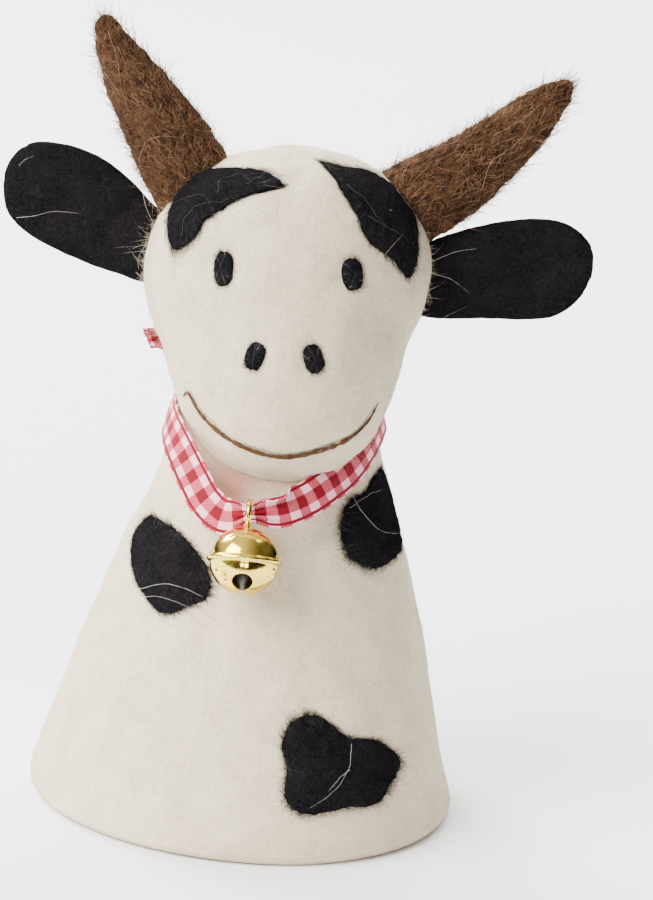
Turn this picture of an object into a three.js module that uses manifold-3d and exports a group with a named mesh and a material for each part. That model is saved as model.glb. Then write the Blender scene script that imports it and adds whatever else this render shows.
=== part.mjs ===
// Felt egg cosy shaped as a cow, in millimetres, +Z up, the face looking along -Y.
// A hollow felt cone stands on its hem, and a solid felt head sits over its closed top.
// Horns, ears, patches, eyes, nostrils and the stitched mouth are pieces on the head and cone.
// A ribbon is tied round the neck, and a small bell hangs in front from a wire ring.
import * as THREE from 'three';
import { mergeVertices } from 'three/addons/utils/BufferGeometryUtils.js';
import Module from 'manifold-3d';

const wasm = await Module();
wasm.setup();

// Driving dimensions
const GAP = 0.3; // between two pieces that touch
const FELT_WALL = 3.0; // thickness of the cone's felt
const EAR_FELT = 3.0; // thickness of the cut felt of an ear
const PATCH_FELT = 1.1; // how far a patch stands up
const HORN_FLATNESS = 0.68; // depth of a horn over its width
const RIBBON_WIDTH = 6.35; // quarter-inch ribbon
const RIBBON_CLOTH = 1.0; // its built thickness
const RIBBON_WAIST = 2.3; // its gathered width inside the ring
const BELL_RADIUS = 5.9;
const BELL_HEIGHT_UP = 5.1; // rim to crown
const BELL_HEIGHT_DOWN = 5.9; // rim to lowest point
const BELL_SHEET = 0.5; // thickness of the pressed brass
const RIM_RADIUS = 6.4;
const RIM_HALF = 0.45; // half the height of the bell's folded rim
const RIM_FOLD = 8; // degrees above and below the middle at which the rim starts
const BELL_SLOT = 1.1; // width of the slot under the bell
const BELL_SLOT_DEPTH = 4;
const BELL_HOLE_RADIUS = 1.75;
const BELL_HOLE_ANGLE = 44; // degrees below the rim
const BELL_LEAN = 22; // degrees out from a plumb line, as the ribbon holds it clear of the cone
const PELLET_RADIUS = 2.2;
const RING_WIRE = 0.9;
const RING_RADIUS = 2.1; // to the middle of the wire

// Steps round and along each kind of piece
const STEPS = {
  coneRound: 52, headRound: 44, headUp: 28, hornRound: 16, hornAlong: 14, padRound: 36, padUp: 6,
  ovalRound: 14, threadRound: 8, threadAlong: 36, ribbonAlong: 60, tailAlong: 12, knotRound: 16,
  knotUp: 10, bellRound: 24, bellUp: 6, ringRound: 8, ringAlong: 24, pelletRound: 14, pelletUp: 10,
};

// The cone: outer radius at each height, up to the closed top
const coneRows = [
  { height: 0, radius: 36.4 },
  { height: 0.8, radius: 37.2 },
  { height: 2.2, radius: 37.6 },
  { height: 8, radius: 36.1 },
  { height: 15, radius: 34.1 },
  { height: 30, radius: 30.3 },
  { height: 45, radius: 25.4 },
  { height: 57, radius: 20.6 },
  { height: 64, radius: 18.6 },
  { height: 72, radius: 16.8 },
  { height: 80, radius: 14.6 },
  { height: 87, radius: 11.6 },
  { height: 91, radius: 7.6 },
  { height: 93, radius: 0 },
];
// The hollow follows the outside one wall further in, and closes in a dome
const HOLLOW_HEIGHTS = [0, 15, 30, 45, 57, 64, 72, 80];
const hollowDome = [
  { height: 86, radius: 8.2 },
  { height: 88.5, radius: 4.6 },
  { height: 89.5, radius: 0 },
];
const CONE_TOP = coneRows.at(-1).height;
const SOCKET_BOTTOM = 45; // the head's socket is cut from this height up
const NECK_HEIGHT = 57;
const NECK_LEAN = 1.2; // the cone leans this far to +X at the neck
// Unevenness of the hand-made felt: waves round the cone, their height, turn per millimetre up, start
const coneWavers = [
  { waves: 2, size: 0.25, climb: 0.05, start: 0 },
  { waves: 3, size: 0.18, climb: -0.11, start: 1 },
];
const waverFade = { from: 0, full: 6, ebbs: 70, gone: 88 }; // heights between which it shows

// The head: a skull ball and a muzzle ball, melted into one form seen from a point inside both
const HEAD_MIDDLE = new THREE.Vector3(1, -5, 89);
const HEAD_BLEND = 4;
const headBalls = [
  { at: new THREE.Vector3(0.55, -0.5, 96.6), radii: new THREE.Vector3(24.5, 20.5, 20.6), tilt: 10 },
  { at: new THREE.Vector3(1.7, -10, 79.9), radii: new THREE.Vector3(17.9, 18, 19.2), tilt: 6 },
];

// Horns: the middle line from inside the head to the tip, and half the width there
const hornRows = {
  horn_left: [
    { x: -11.5, y: 2, z: 100, half: 7.0 },
    { x: -17.6, y: 2, z: 110, half: 7.3 },
    { x: -22.2, y: 2.5, z: 117, half: 6.8 },
    { x: -26.2, y: 3, z: 122.6, half: 5.7 },
    { x: -30.1, y: 3.5, z: 127.8, half: 4.3 },
    { x: -32.9, y: 4, z: 132.2, half: 2.9 },
    { x: -34.5, y: 4.2, z: 136.6, half: 1.5 },
  ],
  horn_right: [
    { x: 12.5, y: 2, z: 102.5, half: 7.0 },
    { x: 21.1, y: 2, z: 109, half: 7.2 },
    { x: 26.6, y: 2.5, z: 112.6, half: 6.9 },
    { x: 32.4, y: 3, z: 117.5, half: 5.9 },
    { x: 37.6, y: 3.5, z: 122.5, half: 4.9 },
    { x: 42.2, y: 4, z: 127.5, half: 3.6 },
    { x: 46.6, y: 4.2, z: 132.1, half: 1.4 },
  ],
};

// Ears: the outline as seen from the front, across and up, with the root inside the head
const earOutlines = {
  ear_left: [[-19, 102], [-23.4, 104.8], [-28, 109], [-33.5, 112.4], [-39.5, 114], [-45, 113.6],
    [-48.6, 110.4], [-49.7, 105.6], [-48.6, 100.9], [-44.6, 97.4], [-37, 94.4], [-29, 92.4],
    [-22.6, 91.6], [-18.6, 96]],
  ear_right: [[20, 97], [24.6, 102.4], [29.6, 104.9], [36, 107], [43, 108.2], [48.6, 107.4],
    [52.4, 104.2], [53.3, 99.6], [51.8, 95], [48, 91.4], [43, 90.3], [35, 89.9], [27, 89.4],
    [21, 90.5]],
};
const EAR_ROOT = 22; // how far from the middle an ear comes out of the head
const EAR_DEPTH = 1.5; // y of an ear's root
const EAR_SWEEP = 0.08; // how fast the ear leans back along its length
const EAR_CUP = 0.012; // how strongly its edges curl forward

// Patches: outlines in degrees round and up the head, or degrees round and millimetres up the cone
const headPatches = {
  patch_brow_left: { middle: [-78, 55], outline: [[-66, 29], [-80, 35], [-92, 40], [-97, 46], [-99, 52],
    [-91, 60], [-68, 70], [-41, 73], [-15, 70], [-30, 66], [-45, 61], [-55, 54], [-62, 45], [-62, 36]] },
  patch_brow_right: { middle: [68, 50], outline: [[57, 80], [81, 73], [93, 66], [96, 58], [91, 50],
    [91, 44], [83, 36], [77, 29], [70, 25], [62, 32], [54, 39], [48, 47], [47, 57], [47, 68]] },
};
const conePatches = {
  patch_chest_left: { middle: [-45, 46], outline: [[-67, 51.6], [-70, 49], [-66, 46], [-56, 43], [-46, 41],
    [-34, 39.1], [-27, 40.8], [-19, 43.6], [-19, 46.2], [-29, 50], [-40, 51.9], [-55, 52.6]] },
  patch_neck_right: { middle: [66, 55], outline: [[84, 62], [70, 62.2], [56, 60.2], [43, 59.2], [37, 55.6],
    [37, 51.8], [43, 49.6], [54, 47.9], [70, 48.4], [84, 49.6], [93, 53], [93, 58.5]] },
  patch_hem_right: { middle: [27, 17], outline: [[19, 25.5], [14, 24], [12, 21], [13.5, 16.5], [13.5, 12],
    [18, 9.4], [30, 9.8], [42, 10], [47, 12.4], [52.5, 15.4], [45, 19.7], [33, 21.4], [25, 24.6]] },
};

// Eyes and nostrils: small felt ovals on the face, half sizes in millimetres
const faceOvals = {
  eye_left: { round: -36, up: 29, halfWidth: 1.75, halfHeight: 3.0, tilt: 14, stands: 0.9 },
  eye_right: { round: 36.5, up: 31.5, halfWidth: 1.85, halfHeight: 2.75, tilt: 2, stands: 0.9 },
  nostril_left: { round: -11, up: -6.5, halfWidth: 1.5, halfHeight: 2.35, tilt: -16, stands: 0.7 },
  nostril_right: { round: 14.5, up: -5.5, halfWidth: 1.6, halfHeight: 2.45, tilt: 20, stands: 0.7 },
};

// The stitched mouth: degrees round and up the head, and half the thread's width
const mouthRows = [
  { round: -51, up: -32, half: 0.35 },
  { round: -46, up: -29, half: 0.5 },
  { round: -39, up: -35, half: 0.6 },
  { round: -28, up: -39.5, half: 0.6 },
  { round: -12, up: -43.5, half: 0.6 },
  { round: 6, up: -44.5, half: 0.6 },
  { round: 23, up: -42, half: 0.6 },
  { round: 36, up: -38, half: 0.55 },
  { round: 46, up: -32.5, half: 0.45 },
  { round: 52, up: -26, half: 0.3 },
];
const THREAD_FLATNESS = 0.6;
const THREAD_LIFT = 0.68; // height of the thread's middle over the felt, in half widths

// The ribbon's middle line round the neck, from one side of the knot to the other
const ribbonRows = [
  { round: -166, out: 17.2, up: 77.2 },
  { round: -150, out: 16.7, up: 76.6 },
  { round: -120, out: 17.4, up: 74.0 },
  { round: -90, out: 18.4, up: 71.2 },
  { round: -74, out: 19.6, up: 70.3 },
  { round: -60, out: 21.2, up: 69.6 },
  { round: -49, out: 22.9, up: 68.6 },
  { round: -39, out: 24.5, up: 66.4 },
  { round: -31, out: 25.7, up: 63.4 },
  { round: -23, out: 26.9, up: 60.0 },
  { round: -16, out: 27.7, up: 58.4 },
  { round: -6.5, out: 28.2, up: 59.4 },
  { round: 6, out: 26.3, up: 60.6 },
  { round: 16, out: 24.1, up: 61.5 },
  { round: 27, out: 22.4, up: 62.0 },
  { round: 40, out: 21.2, up: 62.6 },
  { round: 52, out: 20.4, up: 64.7 },
  { round: 63, out: 19.8, up: 66.7 },
  { round: 75, out: 19.3, up: 69.4 },
  { round: 90, out: 18.5, up: 71.6 },
  { round: 120, out: 17.2, up: 74.6 },
  { round: 150, out: 16.7, up: 76.8 },
  { round: 166, out: 17.2, up: 77.4 },
];
const RING_ROW = 11; // the row where the ring hangs
const RIBBON_SLOPE = 0.24; // the ribbon's face looks up by this much, as the cone's side does
const GATHER = 2.4; // half the length over which the ribbon is gathered

// The knot at the nape, and the two free ends that leave it
const knot = { x: 0, y: 18.8, z: 77.2, halfX: 3.6, halfY: 2.3, halfZ: 3.4, crease: 0.14, creaseHalf: 0.3 };
const KNOT_SQUARENESS = 3; // 2 is a ball, more is a fuller pillow
const tailRows = {
  ribbon_tail_left: [
    { x: -4.1, y: 19.6, z: 77.6 },
    { x: -9, y: 20.6, z: 78.2 },
    { x: -16, y: 19.8, z: 77.9 },
    { x: -24.4, y: 16.6, z: 77.4 },
  ],
  ribbon_tail_right: [
    { x: 4.1, y: 19.8, z: 76.4 },
    { x: 8.2, y: 21.6, z: 75.2 },
    { x: 13, y: 23, z: 70.6 },
    { x: 16.4, y: 24.4, z: 63.8 },
  ],
};

const COLOURS = {
  wool: { color: 0xe6ded2, roughness: 0.95, metalness: 0 },
  blackFelt: { color: 0x242325, roughness: 0.95, metalness: 0 },
  hornFelt: { color: 0x70523c, roughness: 0.95, metalness: 0 },
  thread: { color: 0x6b4a30, roughness: 0.8, metalness: 0 },
  ribbon: { color: 0xd8425f, roughness: 0.6, metalness: 0 },
  brass: { color: 0xd9b45a, roughness: 0.2, metalness: 1 },
  steel: { color: 0x8a8a88, roughness: 0.35, metalness: 1 },
};

// Reads a column of a table at any position, smooth through the rows (cubic Hermite).
function read(rows, key, column, at) {
  const last = rows.length - 1;
  let i = 0;
  while (i < last - 1 && at > rows[i + 1][key]) i += 1;
  const slope = (k) => {
    const a = rows[Math.max(k - 1, 0)];
    const b = rows[Math.min(k + 1, last)];
    return (b[column] - a[column]) / (b[key] - a[key]);
  };
  const span = rows[i + 1][key] - rows[i][key];
  const s = THREE.MathUtils.clamp((at - rows[i][key]) / span, 0, 1);
  const start = rows[i][column] * (1 + 2 * s) * (1 - s) ** 2 + slope(i) * span * s * (1 - s) ** 2;
  return start + rows[i + 1][column] * s * s * (3 - 2 * s) + slope(i + 1) * span * s * s * (s - 1);
}

// Moves every vertex of a geometry to where place() puts it.
function moved(geometry, place) {
  const position = geometry.attributes.position;
  const v = new THREE.Vector3();
  for (let i = 0; i < position.count; i += 1) {
    v.fromBufferAttribute(position, i);
    const p = place(v, i);
    position.setXYZ(i, p.x, p.y, p.z);
  }
  return geometry;
}

// Merges shared vertices and turns the faces outwards, so that the mesh is one closed body.
function closed(geometry) {
  geometry.deleteAttribute('normal');
  geometry.deleteAttribute('uv');
  const merged = mergeVertices(geometry, 1e-4);
  const p = merged.attributes.position;
  const kept = [];
  let volume = 0;
  for (let i = 0; i < merged.index.count; i += 3) {
    const [a, b, c] = [0, 1, 2].map((k) => merged.index.getX(i + k));
    if (a === b || b === c || c === a) continue;
    kept.push(a, b, c);
    const [u, v, w] = [a, b, c].map((k) => new THREE.Vector3().fromBufferAttribute(p, k));
    volume += u.dot(v.cross(w));
  }
  merged.setIndex(volume < 0 ? kept.reverse() : kept);
  return merged;
}

function toSolid(geometry) {
  const vertProperties = Float32Array.from(geometry.attributes.position.array);
  const triVerts = Uint32Array.from(geometry.index.array);
  return new wasm.Manifold(new wasm.Mesh({ numProp: 3, vertProperties, triVerts }));
}

function toGeometry(solid) {
  const mesh = solid.getMesh();
  const geometry = new THREE.BufferGeometry();
  geometry.setAttribute('position', new THREE.BufferAttribute(mesh.vertProperties, 3));
  geometry.setIndex(new THREE.BufferAttribute(mesh.triVerts, 1));
  return geometry;
}

// A ball drawn out along a path: row t of the ball goes to place(t, angle), poles at both ends.
function drawnOut(around, along, place) {
  return closed(moved(new THREE.SphereGeometry(1, around, along), (v) => {
    const t = Math.acos(THREE.MathUtils.clamp(v.y, -1, 1)) / Math.PI;
    return place(t, Math.atan2(v.z, v.x), Math.sin(Math.PI * t) < 1e-6);
  }));
}

// How far the hand-made felt swells or sinks at a place on the cone.
function coneWaver(round, up) {
  const swells = THREE.MathUtils.smoothstep(up, waverFade.from, waverFade.full);
  const ebbs = 1 - THREE.MathUtils.smoothstep(up, waverFade.ebbs, waverFade.gone);
  const waver = ({ waves, size, climb, start }) => size * Math.sin(waves * round + climb * up + start);
  return coneWavers.reduce((sum, row) => sum + waver(row), 0) * swells * ebbs;
}

// How far the cone's outside is from its own middle line.
function coneRadius(round, up) {
  return read(coneRows, 'height', 'radius', up) + coneWaver(round, up);
}

function coneLean(up) {
  return NECK_LEAN * THREE.MathUtils.clamp(up / NECK_HEIGHT, 0, 1) ** 2;
}

// A point beside the cone, at an angle from the front towards +X.
function conePoint(round, up, lift) {
  const reach = coneRadius(round, up) + lift;
  return new THREE.Vector3(coneLean(up) + reach * Math.sin(round), -reach * Math.cos(round), up);
}

// A turned form from a height and radius table, leaning and wavering as the cone does.
function turned(profile) {
  const points = profile.map((row) => new THREE.Vector2(row.radius, row.height));
  return closed(moved(new THREE.LatheGeometry(points, STEPS.coneRound), (v, i) => {
    const { radius, height } = profile[i % profile.length];
    const round = Math.atan2(v.x, v.z);
    const reach = radius === 0 ? 0 : radius + coneWaver(round, height);
    return new THREE.Vector3(coneLean(height) + reach * Math.sin(round), -reach * Math.cos(round), height);
  }));
}

function coneShell() {
  const outside = [...coneRows].reverse();
  const sides = HOLLOW_HEIGHTS.map((height) => ({
    height, radius: read(coneRows, 'height', 'radius', height) - FELT_WALL,
  }));
  return turned([...outside, ...sides, ...hollowDome]);
}

// The cone's filled outside, grown by the gap, which the head is hollowed to fit over.
function coneSocket() {
  const grown = coneRows.filter((row) => row.height >= SOCKET_BOTTOM && row.radius > 0)
    .map(({ height, radius }) => ({ height, radius: radius + GAP }));
  const bottom = { height: SOCKET_BOTTOM, radius: 0 };
  return turned([{ height: CONE_TOP + GAP, radius: 0 }, ...grown.reverse(), bottom]);
}

// Distance from the head's middle to a tilted ball along a direction.
function ballReach(direction, ball) {
  const tilt = THREE.MathUtils.degToRad(ball.tilt);
  const turn = (v) => new THREE.Vector3(
    v.x * Math.cos(tilt) + v.z * Math.sin(tilt), v.y, -v.x * Math.sin(tilt) + v.z * Math.cos(tilt));
  const from = turn(HEAD_MIDDLE.clone().sub(ball.at)).divide(ball.radii);
  const along = turn(direction).divide(ball.radii);
  const a = along.lengthSq();
  const b = along.dot(from);
  return (-b + Math.sqrt(b * b - a * (from.lengthSq() - 1))) / a;
}

function headReach(direction) {
  const sum = headBalls.reduce((total, ball) => total + ballReach(direction, ball) ** HEAD_BLEND, 0);
  return sum ** (1 / HEAD_BLEND);
}

// A point over the head, from angles round (from the front towards +X) and up, in degrees.
function headPoint(round, up, lift) {
  const [r, u] = [THREE.MathUtils.degToRad(round), THREE.MathUtils.degToRad(up)];
  const level = Math.cos(u);
  return overHead(new THREE.Vector3(Math.sin(r) * level, -Math.cos(r) * level, Math.sin(u)), lift);
}

function overHead(direction, lift) {
  return direction.clone().multiplyScalar(headReach(direction) + lift).add(HEAD_MIDDLE);
}

function headForm(lift) {
  return closed(moved(new THREE.SphereGeometry(1, STEPS.headRound, STEPS.headUp), (v) =>
    overHead(new THREE.Vector3(v.x, -v.z, v.y).normalize(), lift)));
}

// A flat piece lying over a surface: a ball squashed between two skins inside an outline.
// place(across, up, lift) gives the point over the surface.
function pad(outline, middle, bottom, top, around, place) {
  const edge = new THREE.CatmullRomCurve3(outline.map(([a, b]) => new THREE.Vector3(a, b, 0)), true);
  return closed(moved(new THREE.SphereGeometry(1, around, STEPS.padUp), (v) => {
    const reach = Math.min(Math.hypot(v.x, v.z), 1);
    const turn = (Math.atan2(v.z, v.x) / (2 * Math.PI) + 1) % 1;
    const rim = edge.getPoint(turn);
    const across = middle[0] + (rim.x - middle[0]) * reach;
    const up = middle[1] + (rim.y - middle[1]) * reach;
    const half = (top - bottom) / 2;
    return place(across, up, bottom + half + half * Math.sign(v.y) * Math.sqrt(Math.abs(v.y)));
  }));
}

function horn(rows, grown) {
  const line = new THREE.CatmullRomCurve3(rows.map((row) => new THREE.Vector3(row.x, row.y, row.z)));
  const table = rows.map((row, i) => ({ at: i / (rows.length - 1), half: row.half }));
  return drawnOut(STEPS.hornRound, STEPS.hornAlong, (t, angle, pole) => {
    const middle = line.getPoint(t);
    if (pole) return middle;
    const along = line.getTangent(t);
    const across = new THREE.Vector3(0, 1, 0).cross(along).normalize();
    const depth = along.clone().cross(across);
    const half = read(table, 'at', 'half', t) + grown;
    middle.addScaledVector(across, half * Math.cos(angle));
    return middle.addScaledVector(depth, (half * HORN_FLATNESS + grown / 2) * Math.sin(angle));
  });
}

function ear(outline, side) {
  const middle = [0, 1].map((k) => outline.reduce((sum, point) => sum + point[k], 0) / outline.length);
  return pad(outline, middle, -EAR_FELT / 2, EAR_FELT / 2, STEPS.padRound, (x, z, lift) => {
    const off = z - middle[1];
    const y = EAR_DEPTH + EAR_SWEEP * Math.max(0, side * x - EAR_ROOT) - EAR_CUP * off * off;
    return new THREE.Vector3(x, y + lift, z);
  });
}

function headPatch({ outline, middle }) {
  return pad(outline, middle, GAP, GAP + PATCH_FELT, STEPS.padRound, headPoint);
}

function conePatch({ outline, middle }) {
  return pad(outline, middle, GAP, GAP + PATCH_FELT, STEPS.padRound, (round, up, lift) =>
    conePoint(THREE.MathUtils.degToRad(round), up, lift));
}

// A small oval laid on the face, its outline worked out on the plane that touches the head there.
function faceOval({ round, up, halfWidth, halfHeight, tilt, stands }) {
  const outward = headPoint(round, up, 0).sub(HEAD_MIDDLE);
  const right = new THREE.Vector3(-outward.y, outward.x, 0).normalize();
  const rise = outward.clone().cross(right).normalize();
  const lean = THREE.MathUtils.degToRad(tilt);
  const corners = 8;
  const outline = Array.from({ length: corners }, (_, i) => {
    const angle = (2 * Math.PI * i) / corners;
    const [a, b] = [halfWidth * Math.cos(angle), halfHeight * Math.sin(angle)];
    return [a * Math.cos(lean) - b * Math.sin(lean), a * Math.sin(lean) + b * Math.cos(lean)];
  });
  return pad(outline, [0, 0], GAP, GAP + stands, STEPS.ovalRound, (across, high, lift) => {
    const to = outward.clone().addScaledVector(right, across).addScaledVector(rise, high);
    return overHead(to.normalize(), lift);
  });
}

function mouth() {
  const line = new THREE.CatmullRomCurve3(mouthRows.map((row) => headPoint(row.round, row.up, 0)));
  const table = mouthRows.map((row, i) => ({ at: i / (mouthRows.length - 1), half: row.half }));
  return drawnOut(STEPS.threadRound, STEPS.threadAlong, (t, angle, pole) => {
    const half = read(table, 'at', 'half', t);
    const direction = line.getPoint(t).sub(HEAD_MIDDLE).normalize();
    const middle = overHead(direction, GAP + half * THREAD_LIFT);
    if (pole) return middle;
    const across = line.getTangent(t).cross(direction).normalize();
    middle.addScaledVector(across, half * Math.cos(angle));
    return middle.addScaledVector(direction, half * THREAD_FLATNESS * Math.sin(angle));
  });
}

// A strip of ribbon along a line. facing(point) is the direction that its face looks to.
function strip(line, steps, facing, widthAt) {
  return closed(moved(new THREE.BoxGeometry(1, 1, 1, steps, 1, 1), (v) => {
    const t = THREE.MathUtils.clamp(v.x + 0.5, 0, 1);
    const middle = line.getPointAt(t);
    const along = line.getTangentAt(t);
    const wide = facing(middle).cross(along).normalize();
    const out = along.cross(wide);
    return middle.addScaledVector(wide, v.y * widthAt(t)).addScaledVector(out, v.z * RIBBON_CLOTH);
  }));
}

function ribbonLine() {
  return new THREE.CatmullRomCurve3(ribbonRows.map(({ round, out, up }) => {
    const angle = THREE.MathUtils.degToRad(round);
    return new THREE.Vector3(coneLean(up) + out * Math.sin(angle), -out * Math.cos(angle), up);
  }));
}

const ribbonPath = ribbonLine();
const ringMiddle = ribbonPath.getPoint(RING_ROW / (ribbonRows.length - 1));

function ribbonBand() {
  const gathered = (t) => Math.exp(-((ribbonPath.getPointAt(t).distanceTo(ringMiddle) / GATHER) ** 2));
  return strip(ribbonPath, STEPS.ribbonAlong,
    (p) => new THREE.Vector3(p.x, p.y, RIBBON_SLOPE * Math.hypot(p.x, p.y)),
    (t) => THREE.MathUtils.lerp(RIBBON_WIDTH, RIBBON_WAIST, gathered(t)));
}

function ribbonTail(rows) {
  const line = new THREE.CatmullRomCurve3(rows.map(({ x, y, z }) => new THREE.Vector3(x, y, z)));
  return strip(line, STEPS.tailAlong, () => new THREE.Vector3(0, 1, 0), () => RIBBON_WIDTH);
}

// A soft pillow of crossed ribbon with a crease down its middle.
function ribbonKnot() {
  return closed(moved(new THREE.SphereGeometry(1, STEPS.knotRound, STEPS.knotUp), (v) => {
    const sum = [v.x, v.y, v.z].reduce((total, part) => total + Math.abs(part) ** KNOT_SQUARENESS, 0);
    const square = sum ** (-1 / KNOT_SQUARENESS);
    const crease = 1 - knot.crease * Math.exp(-((v.x / knot.creaseHalf) ** 2));
    return new THREE.Vector3(
      knot.x + v.x * square * knot.halfX,
      knot.y + v.y * square * knot.halfY * crease,
      knot.z + v.z * square * knot.halfZ * crease);
  }));
}

// The bell is turned about its own axis with the rim at zero, then leaned and hung from the ring.
function bellShell() {
  const arc = (radius, height, from, to) => Array.from({ length: STEPS.bellUp + 1 }, (_, i) => {
    const angle = THREE.MathUtils.degToRad(from + ((to - from) * i) / STEPS.bellUp);
    const across = Math.abs(Math.cos(angle)) < 1e-6 ? 0 : radius * Math.cos(angle);
    return new THREE.Vector2(across, height * Math.sin(angle));
  });
  const inside = BELL_RADIUS - BELL_SHEET;
  const profile = [
    ...arc(BELL_RADIUS, BELL_HEIGHT_UP, 90, RIM_FOLD),
    new THREE.Vector2(RIM_RADIUS, RIM_HALF),
    new THREE.Vector2(RIM_RADIUS, -RIM_HALF),
    ...arc(BELL_RADIUS, BELL_HEIGHT_DOWN, -RIM_FOLD, -90),
    ...arc(inside, BELL_HEIGHT_DOWN - BELL_SHEET, -90, -RIM_FOLD),
    ...arc(inside, BELL_HEIGHT_UP - BELL_SHEET, RIM_FOLD, 90),
  ];
  return toSolid(closed(new THREE.LatheGeometry(profile, STEPS.bellRound).rotateX(Math.PI / 2)));
}

function bellWithSlot() {
  const holeHeight = -BELL_HEIGHT_DOWN * Math.sin(THREE.MathUtils.degToRad(BELL_HOLE_ANGLE));
  const holeOut = BELL_RADIUS * Math.cos(THREE.MathUtils.degToRad(BELL_HOLE_ANGLE));
  const slot = new THREE.BoxGeometry(BELL_SLOT, 2 * holeOut, BELL_SLOT_DEPTH);
  slot.translate(0, 0, holeHeight - BELL_SLOT_DEPTH / 2);
  let bell = bellShell().subtract(toSolid(closed(slot)));
  for (const side of [-1, 1]) {
    const size = [BELL_HOLE_RADIUS, BELL_HOLE_RADIUS, BELL_RADIUS];
    const hole = new THREE.CylinderGeometry(...size, STEPS.bellRound);
    hole.rotateX(side * THREE.MathUtils.degToRad(BELL_HOLE_ANGLE));
    hole.translate(0, side * holeOut, holeHeight);
    bell = bell.subtract(toSolid(closed(hole)));
  }
  return toGeometry(bell);
}

// Pieces fixed to the head end one gap off it, and make way for the horns by one gap.
const headRoom = toSolid(headForm(GAP));
const grownHorns = Object.values(hornRows).map((rows) => toSolid(horn(rows, GAP)));
const hornRoom = grownHorns.reduce((both, grown) => both.add(grown));
const solids = { body: coneShell() };
solids.head = toGeometry(toSolid(headForm(0)).subtract(toSolid(coneSocket())));
for (const [name, rows] of Object.entries(hornRows)) {
  solids[name] = toGeometry(toSolid(horn(rows, 0)).subtract(headRoom));
}
for (const [name, outline] of Object.entries(earOutlines)) {
  const side = Math.sign(outline[0][0]);
  solids[name] = toGeometry(toSolid(ear(outline, side)).subtract(headRoom).subtract(hornRoom));
}
for (const [name, patch] of Object.entries(headPatches)) {
  solids[name] = toGeometry(toSolid(headPatch(patch)).subtract(hornRoom));
}
for (const [name, patch] of Object.entries(conePatches)) solids[name] = conePatch(patch);
for (const [name, oval] of Object.entries(faceOvals)) solids[name] = faceOval(oval);
solids.mouth = mouth();
solids.ribbon = ribbonBand();
solids.ribbon_knot = ribbonKnot();
for (const [name, rows] of Object.entries(tailRows)) solids[name] = ribbonTail(rows);

const finish = {
  body: 'wool', head: 'wool', horn: 'hornFelt', ear: 'blackFelt', patch: 'blackFelt', eye: 'blackFelt',
  nostril: 'blackFelt', mouth: 'thread', ribbon: 'ribbon',
};

function pieceOf(name, geometry, colour) {
  const mesh = new THREE.Mesh(geometry, new THREE.MeshStandardMaterial(COLOURS[colour]));
  mesh.name = name;
  return mesh;
}

const cosy = new THREE.Group();
for (const [name, geometry] of Object.entries(solids)) {
  cosy.add(pieceOf(name, geometry, finish[name.split('_')[0]]));
}

// The bell hangs in a group of its own, whose origin is the middle of the ring.
const bell = new THREE.Group();
bell.position.copy(ringMiddle);
bell.rotation.x = THREE.MathUtils.degToRad(-BELL_LEAN);
const ringReach = RING_RADIUS + RING_WIRE / 2;
const rimDrop = ringReach + GAP + BELL_HEIGHT_UP;
const wire = new THREE.TorusGeometry(RING_RADIUS, RING_WIRE / 2, STEPS.ringRound, STEPS.ringAlong);
const ring = pieceOf('bell_ring', closed(wire.rotateY(Math.PI / 2)), 'brass');
const shell = pieceOf('bell_shell', bellWithSlot(), 'brass');
shell.position.z = -rimDrop;
const ball = new THREE.SphereGeometry(PELLET_RADIUS, STEPS.pelletRound, STEPS.pelletUp);
const pellet = pieceOf('bell_pellet', closed(ball), 'steel');
pellet.position.z = -rimDrop - (BELL_HEIGHT_DOWN - BELL_SHEET - PELLET_RADIUS - GAP);
bell.add(ring, shell, pellet);
cosy.add(bell);

// The origin goes to the middle of the whole outline, on the floor.
const reach = new THREE.Box3().setFromObject(cosy, true);
const middle = reach.getCenter(new THREE.Vector3());
cosy.position.set(-middle.x, -middle.y, -reach.min.z);

export default cosy;
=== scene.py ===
# %% [markdown]
# # A felt egg cosy shaped as a cow
# The real object is wool felt all through. A hollow cone stands on its hem over an egg in its cup.
# A solid head is needled onto the cone's closed top, with horns, ears, patches and a face.
# A gingham ribbon is tied round the neck, and a small brass bell hangs in front.
# This file rebuilds each piece as a surface worked out with numpy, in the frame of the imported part.

# %% Load the frame
import math
from functools import partial

import bpy
import numpy as np
from mathutils import Matrix
from mathutils.kdtree import KDTree


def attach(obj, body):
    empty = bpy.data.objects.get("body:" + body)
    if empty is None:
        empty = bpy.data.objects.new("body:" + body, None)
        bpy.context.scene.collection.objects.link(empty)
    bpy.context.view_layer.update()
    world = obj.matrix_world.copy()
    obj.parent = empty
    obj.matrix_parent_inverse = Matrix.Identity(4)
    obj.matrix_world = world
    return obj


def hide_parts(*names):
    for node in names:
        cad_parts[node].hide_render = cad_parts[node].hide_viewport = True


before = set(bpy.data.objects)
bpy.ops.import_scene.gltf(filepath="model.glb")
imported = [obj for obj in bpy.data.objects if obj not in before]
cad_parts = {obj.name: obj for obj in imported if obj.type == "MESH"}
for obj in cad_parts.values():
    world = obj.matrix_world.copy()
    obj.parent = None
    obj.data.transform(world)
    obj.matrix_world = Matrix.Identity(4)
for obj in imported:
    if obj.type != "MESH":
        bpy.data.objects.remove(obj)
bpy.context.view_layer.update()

# %% [markdown]
# ## Camera
# The photograph was taken from a little above, with a long lens and the camera rolled by a few degrees.
# The camera looks at one aim point from 700 mm away. Its three directions are worked out from the
# elevation and the roll, so the picture's frame follows from named numbers alone.

# %% Camera
def stood(name, data, axes, at):
    """A scene object whose right, up and back directions are the three axes, at a place."""
    thing = bpy.data.objects.new(name, data)
    bpy.context.scene.collection.objects.link(thing)
    thing.matrix_world = Matrix([[*(axis[i] for axis in axes), at[i]] for i in range(3)] + [[0, 0, 0, 1]])
    return thing


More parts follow.
